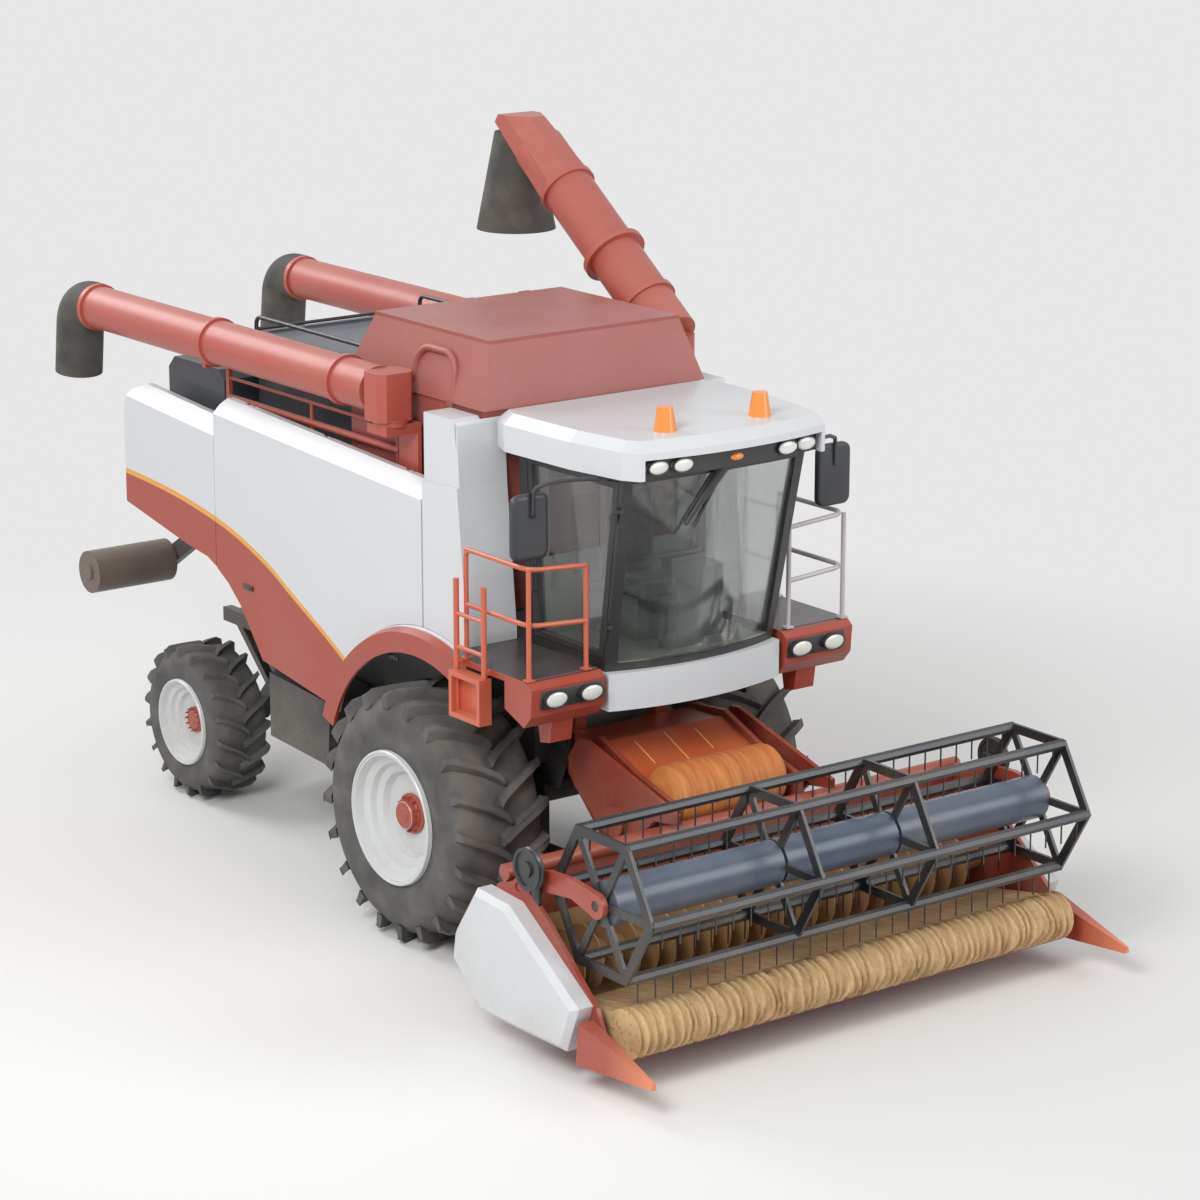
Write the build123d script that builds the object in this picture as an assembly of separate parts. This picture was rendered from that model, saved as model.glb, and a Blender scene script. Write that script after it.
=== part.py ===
from build123d import *
import os
from math import atan, cos, hypot, radians, sin, sqrt, tan

os.makedirs("parts", exist_ok=True)

# A self-propelled combine harvester, in millimetres: +X forwards, +Y to its left, +Z up.
# Everything is drawn with the front axle over X = 0 and the ground at Z = 0.
# When it is saved it moves forwards by axle_ahead(), so that the origin lies on the ground
# under the middle of the machine's length.
WHEELBASE = 3740

# Clearances
SEAT_GAP = 0.3
RUN_GAP = 0.8
SWING_GAP = 6
DOOR_SWAY = 15

# Wheels
FRONT_R = 910
FRONT_W = 750
FRONT_Y = 1150
FRONT_RIM_R = 467
FRONT_LUGS = 20
REAR_R = 609
REAR_W = 470
REAR_Y = 765
REAR_RIM_R = 328
REAR_LUGS = 18
LUG_H = 52
HUB_BORE_R = 55
KINGPIN_Y = 430
KINGPIN_R = 30

# Body
RAIL_TOP_Z = 1240
BODY_Y = 1200
PANEL_T = 40
SHOULDER_CHAMFER = 110
ARCH_R = 1310
ARCH_LIP_R = 1130
ARCH_Y = 1300
ARCH_IN_Y = BODY_Y - 60
WING_Y = 785
CORE_Y = 1040
CORE_LOW_Y = 600
DECK_Z = 3150
SEAM_REAR_X = -2800
SEAM_FRONT_X = -50
DOOR_TOP_REAR_Z = 3370
DOOR_TOP_FRONT_Z = 3230

# Grain tank
TANK_WALL = 25
TANK_REAR_X = -1360
TANK_FRONT_X = 351
TANK_Y = 925
TANK_BASE_Z = 3770
TANK_RISE = 456
TANK_TOP_Z = TANK_BASE_Z + TANK_RISE
TANK_TOP_REAR_X = -1176
TANK_TOP_FRONT_X = 231
TANK_TOP_Y = 814
TANK_FLOOR_Z = 2350
LID_T = 26

# Cab
CAB_FLOOR_Z = 2150
CAB_TOP_Z = 3545
CAB_WALL = 60
CAB_REAR_X = 500
CAB_Y = 770
ROOF_TOP_Z = 3800
VISOR_Z = 3682
VISOR_Y = 745
BAND_X = 1818
BAND_BACK_X = 1775
BAND_BOW = 80
GLASS_T = 10
DOOR_REAR_X = 590
DOOR_SILL_Z = 2228
DECK_T = 45

# Header, reel and feeder
HEADER_Y = 2100
SHIELD_T = 150
HEADER_BACK_X = 1960
FEEDER_PIVOT = (800, 1500)
FEEDER_Y = 560
CHEEK_Y = 680
CHEEK_T = 36
ROLL_AT = (1720, 1300)
SACK_R = 225
REEL_X = 2890
REEL_Z = 1170
REEL_BAT_R = 500
BAT_R = 38
TINE_R = 165
REEL_Y = 1850
ARM_PIVOT = (2120, 1090)
AUGER_X = 2220
AUGER_Z = 550
AUGER_R = 220
AUGER_PITCH = 150
ROLL_X = 3130
ROLL_Z = 380
ROLL_R = 170

# Unloading augers
SPOUT_R = 165
SPOUT_T = 20
SPOUT_RUN = 260
SPOUT_BACK = 330
SPOUT_DROP = 560
FOLDED_Y = 1140
RIGHT_PIVOT = (-500, 3790)
LEFT_PIVOT = (-800, 3690)
RIGHT_END_X = -4600
LEFT_END_X = -5250
FLANGE_R = SPOUT_R + 18
REST_X = -2940
RAISED_R = 195
RAISED_PIVOT = (-260, 3740)
RAISED_Y = 1130
RAISED_Z = 3960
RAISED_ANGLE = 36
NECK_DROP = 195
TOWER_Y = 960
TOWER_T = 30

# Side rails
SIDE_RAIL_Y = 965
SIDE_RAIL_Z = 3330
SIDE_RAIL_R = 26

# Crop dividers
TIP_X = 3650

# Lift cylinders: the barrel's pin on the chassis and the rod's pin on the feeder
LIFT_FOOT = (280, 600)
LIFT_EYE = (1300, 640)
LIFT_Y = 508
LIFT_PIN_R = 25

# Hinges
HINGE_R = 14
HINGE_PIN_R = 8
SIDE_HINGE_Y = 1035
SIDE_HINGE_DROP = 20
SIDE_HINGES = (-2500, -1450, -400)

# Where stays hold the side panels, as (x, z)
PANEL_STAYS = ((-3700, 2620), (-3700, 3050), (-2950, 2450), (-2950, 3050), (200, 2450), (200, 3050))

# Spreader drums
DRUM_X = -4900
DRUM_Z = 1600
DRUM_R = 170


def axle_ahead():
    """How far the front axle lies ahead of the middle of the length."""
    lean = atan((SPOUT_BACK - SPOUT_RUN) / SPOUT_DROP)
    rear = LEFT_END_X - SPOUT_BACK - (SPOUT_R + SPOUT_T) * cos(lean)
    return -(rear + TIP_X) / 2


def block(x0, x1, y0, y1, z0, z1):
    """A box between two corners."""
    return Pos((x0 + x1) / 2, (y0 + y1) / 2, (z0 + z1) / 2) * Box(x1 - x0, y1 - y0, z1 - z0)


def side_slab(points, y0, y1):
    """An outline of (x, z) points, extruded along Y."""
    line = Polyline(*[(x, y0, z) for x, z in points], close=True)
    return extrude(make_face(line), amount=y1 - y0, dir=(0, 1, 0))


def plan_slab(points, z0, z1):
    """An outline of (x, y) points, extruded upwards."""
    line = Polyline(*[(x, y, z0) for x, y in points], close=True)
    return extrude(make_face(line), amount=z1 - z0, dir=(0, 0, 1))


def front_slab(points, x0, x1):
    """An outline of (y, z) points, extruded along X."""
    line = Polyline(*[(x0, y, z) for y, z in points], close=True)
    return extrude(make_face(line), amount=x1 - x0, dir=(1, 0, 0))


def rod(start, end, radius):
    """A round bar between two points."""
    way = Vector(*end) - Vector(*start)
    bar = Cylinder(radius, way.length, align=(Align.CENTER, Align.CENTER, Align.MIN))
    return Plane(origin=start, z_dir=way) * bar


def pipe(points, radius, bend):
    """A round tube bent along a route with rounded corners."""
    path = FilletPolyline(*points, radius=bend)
    return sweep(Plane(origin=path @ 0, z_dir=path % 0) * Circle(radius), path)


def across(x, z, y0, y1, radius):
    """A round bar that lies across the machine."""
    return rod((x, y0, z), (x, y1, z), radius)


def mirrored(shape):
    """The same piece on the machine's other side."""
    return mirror(shape, about=Plane.XZ)


def both(*shapes):
    """Each piece and its mirror image."""
    return [*shapes, *[mirrored(shape) for shape in shapes]]


def save(node, *shapes):
    """Writes one sub-part, moved to where the origin wants it."""
    solids = [solid for shape in shapes for solid in shape.solids()]
    export_step(Pos(axle_ahead(), 0, 0) * Compound(solids), f"parts/{node}.step")


def many_sided(sections, sides):
    """A turned form with flat sides, through (y, radius) sections along Y."""
    turns = [radians(360 * (i + 0.5) / sides) for i in range(sides)]
    rings = [[(r * sin(turn), y, r * cos(turn)) for turn in turns] for y, r in sections]
    faces = [make_face(Polyline(*ring, close=True)).face() for ring in (rings[0], rings[-1])]
    for low, high in zip(rings, rings[1:]):
        for i in range(sides):
            corners = (low[i - 1], low[i], high[i], high[i - 1])
            faces.append(make_face(Polyline(*corners, close=True)).face())
    return Solid(Shell(faces))


def tyre(radius, width, rim_radius, lugs):
    """A tractor tyre about the Y axis, its outer side towards +Y, with chevron lugs."""
    half = width / 2
    crown = radius - LUG_H
    profile = [(half * 0.93, rim_radius + 24), (half, radius * 0.78), (half * 0.8, crown)]
    sections = [(-y, r) for y, r in profile] + [(y, r) for y, r in reversed(profile)]
    carcass = many_sided(sections, lugs)
    carcass -= many_sided([(-width, rim_radius), (width, rim_radius)], lugs)
    pitch = 360 / lugs
    reach = 0.125 * radius
    thick = 0.075 * radius
    plan = [(reach + thick, -0.05 * width), (reach, -0.05 * width), (-reach, half * 0.98),
            (-reach + thick, half * 0.98)]
    top = sqrt(radius**2 - (reach + thick) ** 2)
    lug = plan_slab(plan, crown - 0.09 * radius, top)
    bars = []
    for i in range(lugs):
        bars.append(Rot(0, i * pitch, 0) * lug)
        bars.append(Rot(0, (i + 0.5) * pitch, 0) * mirrored(lug))
    return carcass.fuse(*bars)


def turned(points):
    """A form turned about the Y axis from an outline of (radius, y) points."""
    return revolve(make_face(Polyline(*[(r, y, 0) for r, y in points], close=True)), Axis.Y)


def rim(width, rim_radius, sides, hub_out, spindle_in):
    """A dished steel rim about the Y axis with its hub, its open side towards +Y."""
    lip = width / 2 + 1
    bead = width / 2 * 0.93
    deep = lip - 0.42 * rim_radius
    barrel = many_sided([(-bead, rim_radius - SEAT_GAP), (bead, rim_radius - SEAT_GAP)], sides)
    barrel += turned([(0, bead - 1), (rim_radius - 9, bead - 1), (rim_radius - 9, bead + SEAT_GAP),
                      (rim_radius + 14, bead + SEAT_GAP),
                      (rim_radius + 10, lip), (0, lip)])
    steps = [(0, lip + 1), (0.95, lip + 1), (0.91, lip - 0.13 * rim_radius), (0.8, lip - 0.18 * rim_radius),
             (0.77, lip - 0.27 * rim_radius), (0.66, lip - 0.31 * rim_radius), (0.62, deep), (0, deep)]
    barrel -= turned([(share * rim_radius, y) for share, y in steps])
    back = deep - 26
    barrel -= turned([(0, -width), (rim_radius * 0.93, -width), (rim_radius * 0.88, back), (0, back)])
    hub_r = 0.21 * rim_radius
    hub = rod((0, spindle_in, 0), (0, hub_out, 0), hub_r)
    flange = rod((0, deep - 1, 0), (0, deep + 18, 0), 0.3 * rim_radius)
    bore = rod((0, spindle_in - 1, 0), (0, deep - 10, 0), HUB_BORE_R)
    return (barrel + hub + flange) - bore


def wheels():
    """Four wheels, each a tyre and a rim."""
    front_place = Pos(0, FRONT_Y, FRONT_R)
    rear_place = Pos(-WHEELBASE, REAR_Y, REAR_R)
    front_tyre = front_place * tyre(FRONT_R, FRONT_W, FRONT_RIM_R, FRONT_LUGS)
    rear_tyre = rear_place * tyre(REAR_R, REAR_W, REAR_RIM_R, REAR_LUGS)
    front_rim = front_place * rim(FRONT_W, FRONT_RIM_R, FRONT_LUGS, 262, 60)
    rear_rim = rear_place * rim(REAR_W, REAR_RIM_R, REAR_LUGS, 132, -40)
    for node, shape in (("tyre_front", front_tyre), ("tyre_rear", rear_tyre),
                        ("rim_front", front_rim), ("rim_rear", rear_rim)):
        save(f"{node}_left", shape)
        save(f"{node}_right", mirrored(shape))


def axles():
    """The driving axle in front, and the steered axle behind with its knuckles."""
    spindle_r = HUB_BORE_R - RUN_GAP
    beam = across(0, FRONT_R, -560, 560, 130)
    drives = both(side_slab([(-210, 760), (210, 760), (230, 1060), (120, 1240), (-120, 1240), (-230, 1060)],
                            540, 700),
                  across(0, FRONT_R, 690, FRONT_Y + 55, 105),
                  across(0, FRONT_R, 700, FRONT_Y + 160, spindle_r))
    save("front_axle", beam.fuse(*drives))
    z = REAR_R
    x = -WHEELBASE
    pin = KINGPIN_R + RUN_GAP
    axle = front_slab([(-KINGPIN_Y, z - 80), (-250, z - 80), (-120, z + 60), (120, z + 60), (250, z - 80),
                       (KINGPIN_Y, z - 80), (KINGPIN_Y, z + 80), (250, z + 80), (150, z + 200),
                       (-150, z + 200), (-250, z + 80), (-KINGPIN_Y, z + 80)], x - 70, x + 70)
    bosses = both(rod((x, KINGPIN_Y, z - 80), (x, KINGPIN_Y, z + 80), 62))
    holes = both(rod((x, KINGPIN_Y, z - 120), (x, KINGPIN_Y, z + 120), pin))
    holes.append(rod((x - 100, 0, z + 150), (x + 100, 0, z + 150), 35 + RUN_GAP))
    save("rear_axle", axle.fuse(*bosses).cut(*holes))
    ears = [rod((x, KINGPIN_Y, z + low), (x, KINGPIN_Y, z + low + 36), 62) for low in (-80.8 - 36, 80.8)]
    webs = [block(x - 45, x + 45, KINGPIN_Y, KINGPIN_Y + 104, z + low, z + low + 36)
            for low in (-80.8 - 36, 80.8)]
    back = block(x - 45, x + 45, KINGPIN_Y + 70, KINGPIN_Y + 104, z - 100, z + 100)
    king = rod((x, KINGPIN_Y, z - 110), (x, KINGPIN_Y, z + 110), KINGPIN_R)
    spindle = across(x, z, KINGPIN_Y + 90, REAR_Y + 80, spindle_r)
    steer_arm = block(x + 30, x + 230, KINGPIN_Y - 10, KINGPIN_Y + 50, z - 116.8, z - 84)
    knuckle = ears[0].fuse(ears[1], *webs, back, king, spindle, steer_arm)
    save("knuckle_left", knuckle)
    save("knuckle_right", mirrored(knuckle))


def chassis():
    """Two long rails, their cross members and the stand of the rear axle."""
    x = -WHEELBASE
    rails = both(side_slab([(x - 260, 1290), (x + 740, 1290), (x + 940, 1130), (700, 1130), (700, RAIL_TOP_Z),
                            (x + 960, RAIL_TOP_Z), (x + 760, 1400), (x - 260, 1400)], 360, 440))
    crosses = [block(at, at + 90, -440, 440, 1150, 1235) for at in (-2000, 560)]
    crosses.append(block(x - 160, x - 70, -440, 440, 1300, 1390))
    stand = front_slab([(-400, 1395), (-400, 1300), (-110, 700), (110, 700), (400, 1300), (400, 1395)],
                       x - 160, x - 72)
    stand_front = Pos(232, 0, 0) * stand
    swing_pin = rod((x - 160, 0, REAR_R + 150), (x + 160, 0, REAR_R + 150), 35)
    legs = both(block(-120, 120, 360, 440, FRONT_R, 1135) - across(0, FRONT_R, 300, 500, 130 + SEAT_GAP))
    pivots = both(block(150, 330, 400, 440, 540, 1140), across(*LIFT_FOOT, 438, LIFT_Y + 28, LIFT_PIN_R))
    ears = both(side_slab([(FEEDER_PIVOT[0] - 110, 1130), (FEEDER_PIVOT[0] + 40, 1450),
                           (FEEDER_PIVOT[0] + 60, 1560), (FEEDER_PIVOT[0] - 60, 1560),
                           (FEEDER_PIVOT[0] - 330, 1130)], FEEDER_Y + 12, FEEDER_Y + 42))
    tie = both(block(480, 690, 435, FEEDER_Y + 42, 1130, 1180))
    pins = both(across(*FEEDER_PIVOT, FEEDER_Y - 30, FEEDER_Y + 60, 35))
    stands = (stand, stand_front, swing_pin)
    save("chassis_frame", rails[0].fuse(*rails[1:], *crosses, *stands, *legs, *pivots, *ears, *tie, *pins))
    box = side_slab([(-2230, 890), (-1440, 850), (-1400, 1330), (-2230, 1380)], 640, 1110)
    box += block(-2150, -1480, 440, 645, 1150, 1230)
    box_left = mirrored(box)
    save("side_tanks", box, box_left)


def side_top(x):
    """The height of the side door's sloping top edge."""
    share = (x - SEAM_REAR_X) / (SEAM_FRONT_X - SEAM_REAR_X)
    return DOOR_TOP_REAR_Z + share * (DOOR_TOP_FRONT_Z - DOOR_TOP_REAR_Z)


def side_hinge_ears(x):
    """Two ears and a pin on the body's deck, for one hinge of the left side door."""
    y = SIDE_HINGE_Y
    pieces = []
    for at in (x - 45, x + 27):
        z = side_top(at + 9) - SIDE_HINGE_DROP
        pieces.append(block(at, at + 18, CORE_Y - 40, y + 8, DECK_Z - 5, z))
        pieces.append(rod((at, y, z), (at + 18, y, z), HINGE_R))
    ends = [(at, y, side_top(at) - SIDE_HINGE_DROP) for at in (x - 40, x + 40)]
    pieces.append(rod(*ends, HINGE_PIN_R))
    return pieces


def body():
    """The threshing body behind the panels, with the tank's and the engine's bays."""
    upper = side_slab([(-3950, 2480), (-3500, 2330), (-2900, 2330), (330, 2330), (330, DECK_Z),
                       (-3950, DECK_Z)], -CORE_Y, CORE_Y)
    low = RAIL_TOP_Z + SEAT_GAP
    lower = side_slab([(-3920, 2600), (-3920, 2100), (-3500, 1700), (-2900, 1420), (-2600, low),
                       (440, low), (440, 1500), (330, 2000), (330, 2500)], -CORE_LOW_Y, CORE_LOW_Y)
    belly = side_slab([(-1700, low + 1), (-1500, 1060), (-300, 1060), (300, low + 1)], -350, 350)
    core = upper.fuse(lower, belly)
    core -= block(TANK_REAR_X + 20, 340, -TANK_Y - 1, TANK_Y + 1, TANK_FLOOR_Z - SEAT_GAP, DECK_Z + 1)
    core -= block(-2900, -1500, -500, 500, 2500, DECK_Z + 1)
    arm = side_slab([(-3900, 2300), (-3900, 2150), (-4840, 1560), (-4960, 1560), (-4960, 1660)], 350, 410)
    arm += across(DRUM_X, DRUM_Z, 400, 550, 30)
    ears = [piece for x in SIDE_HINGES for piece in side_hinge_ears(x)]
    reach = BODY_Y - PANEL_T - SEAT_GAP
    stays = [block(x - 30, x + 30, CORE_Y - 20, reach, z - 20, z + 20) for x, z in PANEL_STAYS]
    for x in (-500, 250):
        z = FRONT_R + sqrt((ARCH_R - 15) ** 2 - x**2)
        stays.append(block(x - 30, x + 30, CORE_Y - 40, ARCH_IN_Y - SEAT_GAP, 2330, 2360))
        stays.append(block(x - 30, x + 30, ARCH_IN_Y - 40, ARCH_IN_Y - SEAT_GAP, z - 20, 2360))
    save("threshing_body", core.fuse(*both(arm, *ears, *stays)))
    save("engine", block(-2800, -1600, -420, 420, 2500 + SEAT_GAP, 3100))


def panel_shell(top_rear, top_front, x0, x1):
    """A wall with a chamfered shoulder, drawn out along its own sloping top edge."""
    out = BODY_Y
    wall = PANEL_T
    cut = SHOULDER_CHAMFER
    low = -2200
    in_y = CORE_Y
    corner = wall * tan(radians(22.5))
    outline = [(in_y, 0), (out - cut, 0), (out, -cut), (out, low), (out - wall, low),
               (out - wall, -cut - corner), (out - cut - corner, -wall), (in_y, -wall)]
    slope = (top_front - top_rear) / (x1 - x0)
    margin = 200
    start = Vector(x0 - margin, 0, top_rear - slope * margin)
    way = Vector(x1 - x0 + 2 * margin, 0, slope * (x1 - x0 + 2 * margin))
    line = Polyline(*[(start.X, y, start.Z + z) for y, z in outline], close=True)
    return extrude(make_face(line), amount=way.length, dir=way)


def panels():
    """The white side panels: rear ones, hinged doors, front corners and shoulders."""
    gap = SWING_GAP / 2
    rear_top = [(-4080, 3230), (-3930, 3290), (SEAM_REAR_X - gap, 3290)]
    rear_low = [(SEAM_REAR_X - gap, 2090), (-2930, 2140), (-3240, 2180), (-3680, 2260), (-4120, 2340),
                (-4210, 2400), (-4270, 2530), (-4250, 2640)]
    rear = panel_shell(3280, 3200, -3930, SEAM_REAR_X) & side_slab(rear_top + rear_low, 900, 1300)
    arch_cut = across(0, FRONT_R, 900, 1400, ARCH_R + gap)
    door_outline = [(SEAM_REAR_X + gap, 2085), (-2630, 1990), (-2470, 1860), (-2170, 1500), (-2000, 1480),
                    (-1330, 1390), (SEAM_FRONT_X - gap, 1390), (SEAM_FRONT_X - gap, 3300),
                    (-2740, 3400), (SEAM_REAR_X + gap, 3320)]
    shell = panel_shell(DOOR_TOP_REAR_Z, DOOR_TOP_FRONT_Z, SEAM_REAR_X, SEAM_FRONT_X)
    door = (shell & side_slab(door_outline, 900, 1300)) - arch_cut
    y = SIDE_HINGE_Y
    for x in SIDE_HINGES:
        z = side_top(x) - SIDE_HINGE_DROP
        door -= block(x - 60, x + 60, 1000, y + 30, z - 60, z + 60)
        ends = [(at, y, side_top(at) - SIDE_HINGE_DROP) for at in (x - 20, x + 20)]
        door += block(x - 20, x + 20, y, y + 34, z - 12, z + 12)
        door += rod(*ends, HINGE_R)
        pins = [(at, y, side_top(at) - SIDE_HINGE_DROP) for at in (x - 60, x + 60)]
        door -= rod(*pins, HINGE_PIN_R + RUN_GAP)
    save("side_door_left", door)
    save("side_door_right", mirrored(door))
    front = SEAM_FRONT_X + DOOR_SWAY
    corner_line = [(front, 1900), (490, 1900), (490, 2250), (385, 3280), (front, 3260)]
    rear_x = SEAM_FRONT_X - 100
    inner_line = [(rear_x, 1800), (450, 1800), (450, 2250), (347, 3240), (rear_x, 3205)]
    corner = side_slab(corner_line, WING_Y, BODY_Y) - side_slab(inner_line, WING_Y - 50, BODY_Y - PANEL_T)
    corner -= block(front - 1, 344, WING_Y - 1, CORE_Y - 85, 3200, 3300)
    corner -= across(0, FRONT_R, WING_Y - 50, 1400, ARCH_R + gap)
    low = 3260 + SEAT_GAP
    behind = TANK_FRONT_X + 4
    shoulder = side_slab([(front, low), (385, low + 20), (330, 3700), (290, 3740), (front, 3740)], 955, 1180)
    shoulder += side_slab([(behind, low + 19), (385, low + 20), (362, 3705), (behind, 3730)], WING_Y, 1180)
    save("body_panels", *both(rear, corner, shoulder))
    section = [(ARCH_R, ARCH_IN_Y), (ARCH_R, BODY_Y + 12), (ARCH_R - 35, ARCH_Y), (ARCH_LIP_R, ARCH_Y),
               (ARCH_LIP_R, ARCH_Y - 25), (ARCH_R - 70, ARCH_Y - 25), (ARCH_R - 30, ARCH_IN_Y)]
    line = Polyline(*[(r, y, 0) for r, y in section], close=True)
    arch = revolve(make_face(line), Axis.Y, 94)
    save("wheel_arches", *both(Pos(0, 0, FRONT_R) * Rot(0, -67 - 94, 0) * arch))


def tank():
    """The grain tank with its raised top, and the lid."""
    base = Plane.XY.offset(TANK_BASE_Z)
    top_z = TANK_TOP_Z - LID_T
    middle = (TANK_REAR_X + TANK_FRONT_X) / 2
    top_middle = (TANK_TOP_REAR_X + TANK_TOP_FRONT_X) / 2

    def frustum(inset):
        low = base * Pos(middle, 0) * Rectangle(TANK_FRONT_X - TANK_REAR_X - 2 * inset,
                                                2 * (TANK_Y + 23 - inset))
        high = Plane.XY.offset(top_z) * Pos(top_middle, 0) * Rectangle(
            TANK_TOP_FRONT_X - TANK_TOP_REAR_X - 2 * inset, 2 * (TANK_TOP_Y - inset))
        return loft([low, high], ruled=True)

    rear, front = TANK_REAR_X + 30, TANK_FRONT_X - 12
    outer = frustum(0) + block(rear, front, -TANK_Y, TANK_Y, TANK_FLOOR_Z, TANK_BASE_Z)
    wall = TANK_WALL
    inside_y, floor_z, brim_z = TANK_Y - wall, TANK_FLOOR_Z + wall, TANK_BASE_Z + 1
    hopper = front_slab([(-inside_y, brim_z), (-inside_y, 2900), (-250, floor_z),
                         (250, floor_z), (inside_y, 2900), (inside_y, brim_z)],
                        rear + wall, front - wall)
    mouth = block(TANK_TOP_REAR_X + 60, TANK_TOP_FRONT_X - 60, -TANK_TOP_Y + 60, TANK_TOP_Y - 60,
                  top_z - 60, top_z + 1)
    shell = outer.cut(frustum(wall) & block(-3000, 3000, -2000, 2000, TANK_BASE_Z, top_z - wall),
                      hopper, mouth)
    lid = block(TANK_TOP_REAR_X, TANK_TOP_FRONT_X, -TANK_TOP_Y, TANK_TOP_Y, top_z, TANK_TOP_Z)
    axis = (TANK_TOP_REAR_X - 20, TANK_TOP_Z - 13)
    x = TANK_TOP_REAR_X
    rear_x, tip_x, tip_z = axis[0] - 14, axis[0] + 12, axis[1] + 12
    ear_line = [(x + 5, top_z - 60), (rear_x, top_z - 20), (rear_x, tip_z), (tip_x, tip_z),
                (tip_x, top_z - 7), (x + 16, top_z - 17)]
    for y in (-500, 500):
        for low in (y - 42, y + 24):
            shell += side_slab(ear_line, low, low + 18)
        shell += across(*axis, y - 40, y + 40, HINGE_PIN_R)
        lid += across(*axis, y - 20, y + 20, HINGE_R)
        lid += block(axis[0], x + 4, y - 20, y + 20, axis[1] - 8, axis[1] + 8)
        lid -= across(*axis, y - 60, y + 60, HINGE_PIN_R + RUN_GAP)
    arch = pipe([(-560, -925, TANK_BASE_Z - 10), (-540, -866, 4090), (-80, -866, 4090),
                 (-60, -925, TANK_BASE_Z - 10)], 26, 150)
    feet = [block(at - 34, at + 34, -950, -915, TANK_BASE_Z - 30, TANK_BASE_Z + 12) for at in (-560, -60)]
    save("grain_tank", shell.fuse(arch, *feet))
    save("tank_lid", lid)


def deck():
    """The engine's deck behind the tank: hood, screen box and tube rails."""
    hood = side_slab([(-3940, DECK_Z), (-3940, 3400), (-3850, 3490), (-3200, 3490), (-3120, 3420),
                      (-3120, DECK_Z)], -900, 900)
    screen_box = block(-2950, TANK_REAR_X - 5, -700, 700, DECK_Z, 3800)
    screen_box -= block(-2900, TANK_REAR_X - 55, -650, 650, DECK_Z + 100, 3801)
    screen_box += block(-2901, TANK_REAR_X - 54, -651, 651, 3760, 3785)
    save("engine_deck", screen_box, hood)
    rear, front, low, height = -2910, -1400, 3700, 3920
    rails = []
    for side in (-1, 1):
        y = side * 735
        route = [(rear, y, low), (rear, y, height), (front, y, height), (front, y, low)]
        rails.append(pipe(route, 16, 60))
        rails.append(rod((rear, y, 3810), (front, y, 3810), 12))
    rails.append(rod((rear, -735, height - 95), (rear, 735, height - 95), 13))
    feet = [block(x - 25, x + 25, *sorted((side * (700 + SEAT_GAP), side * 755)), 3690, 3715)
            for x in (rear, front) for side in (-1, 1)]
    save("deck_rails", rails[0].fuse(*rails[1:], *feet))


def side_rails():
    """A red tube above each side door's hinge line, with a thin one over it and a folded auger's rest."""
    pieces = []
    for side, (pivot_x, pivot_z) in ((-1, RIGHT_PIVOT), (1, LEFT_PIVOT)):
        y = side * SIDE_RAIL_Y
        end = pivot_x - 150
        high = SIDE_RAIL_Z + 150
        rest_z = pivot_z - SPOUT_R - SWING_GAP
        rail = rod((end, y, SIDE_RAIL_Z), (REST_X, y, SIDE_RAIL_Z), SIDE_RAIL_R)
        posts = [rod((x, y, DECK_Z + SEAT_GAP), (x, y, high), 14) for x in (end - 30, (end + REST_X) / 2)]
        thin = rod((end - 30, y, high), (REST_X, y, high), 12)
        low_y, high_y = sorted((y - side * 15, y + side * 15))
        post = block(REST_X - 20, REST_X + 20, low_y, high_y, DECK_Z + SEAT_GAP, rest_z - 15)
        low_y, high_y = sorted((y - side * 15, side * (FOLDED_Y + 40)))
        saddle = block(REST_X - 24, REST_X + 24, low_y, high_y, rest_z - 40, rest_z)
        pieces.append(rail.fuse(*posts, thin, post, saddle))
    save("side_rails", *pieces)


def folded_auger(end_x, side, pivot):
    """A folded unloading tube with its flanges, and its rubber spout. The elbow is at the front."""
    y = side * FOLDED_Y
    pivot_x, z = pivot
    start = pivot_x - 140
    tube = rod((start, y, z), (end_x, y, z), SPOUT_R)
    rings = [rod((x, y, z), (x + 50, y, z), FLANGE_R) for x in (start - 440, -2820, end_x)]
    elbow = block(start - 10, pivot_x + 105, y - 150, y + 150, z - 190, z + 150)
    elbow = chamfer(elbow.edges().filter_by(Axis.Z), 50)
    neck = rod((pivot_x, y, z - NECK_DROP), (pivot_x, y, z - NECK_DROP + 15), 120)
    corner = (end_x - SPOUT_RUN, y, z)
    foot = (end_x - SPOUT_BACK, y, z - SPOUT_DROP)
    spout = pipe([(end_x - SEAT_GAP, y, z), corner, foot], SPOUT_R + SPOUT_T, 190)
    inner = pipe([(end_x - 12, y, z), corner, (foot[0], y, foot[2])], SPOUT_R - 5, 190)
    return tube.fuse(*rings, elbow, neck), spout - inner


def tower(side, x, z, drop):
    """The post on the deck that an auger turns on, its head reaching out over the side door."""
    y = side * FOLDED_Y
    turret_z = z - drop - RUN_GAP
    low, high = sorted((side * TOWER_Y, side * (TOWER_Y + TOWER_T)))
    post = block(x - 130, x + 110, low, high, DECK_Z + SEAT_GAP, turret_z - 60)
    low, high = sorted((side * TOWER_Y, y + side * 110))
    head = block(x - 130, x + 110, low, high, turret_z - 90, turret_z - 20)
    return post.fuse(head, rod((x, y, turret_z - 31), (x, y, turret_z), 125))


def turned_up(points):
    """A form turned about a vertical line from an outline of (radius, z) points."""
    return revolve(make_face(Polyline(*[(r, 0, z) for r, z in points], close=True)), Axis.Z)


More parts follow.
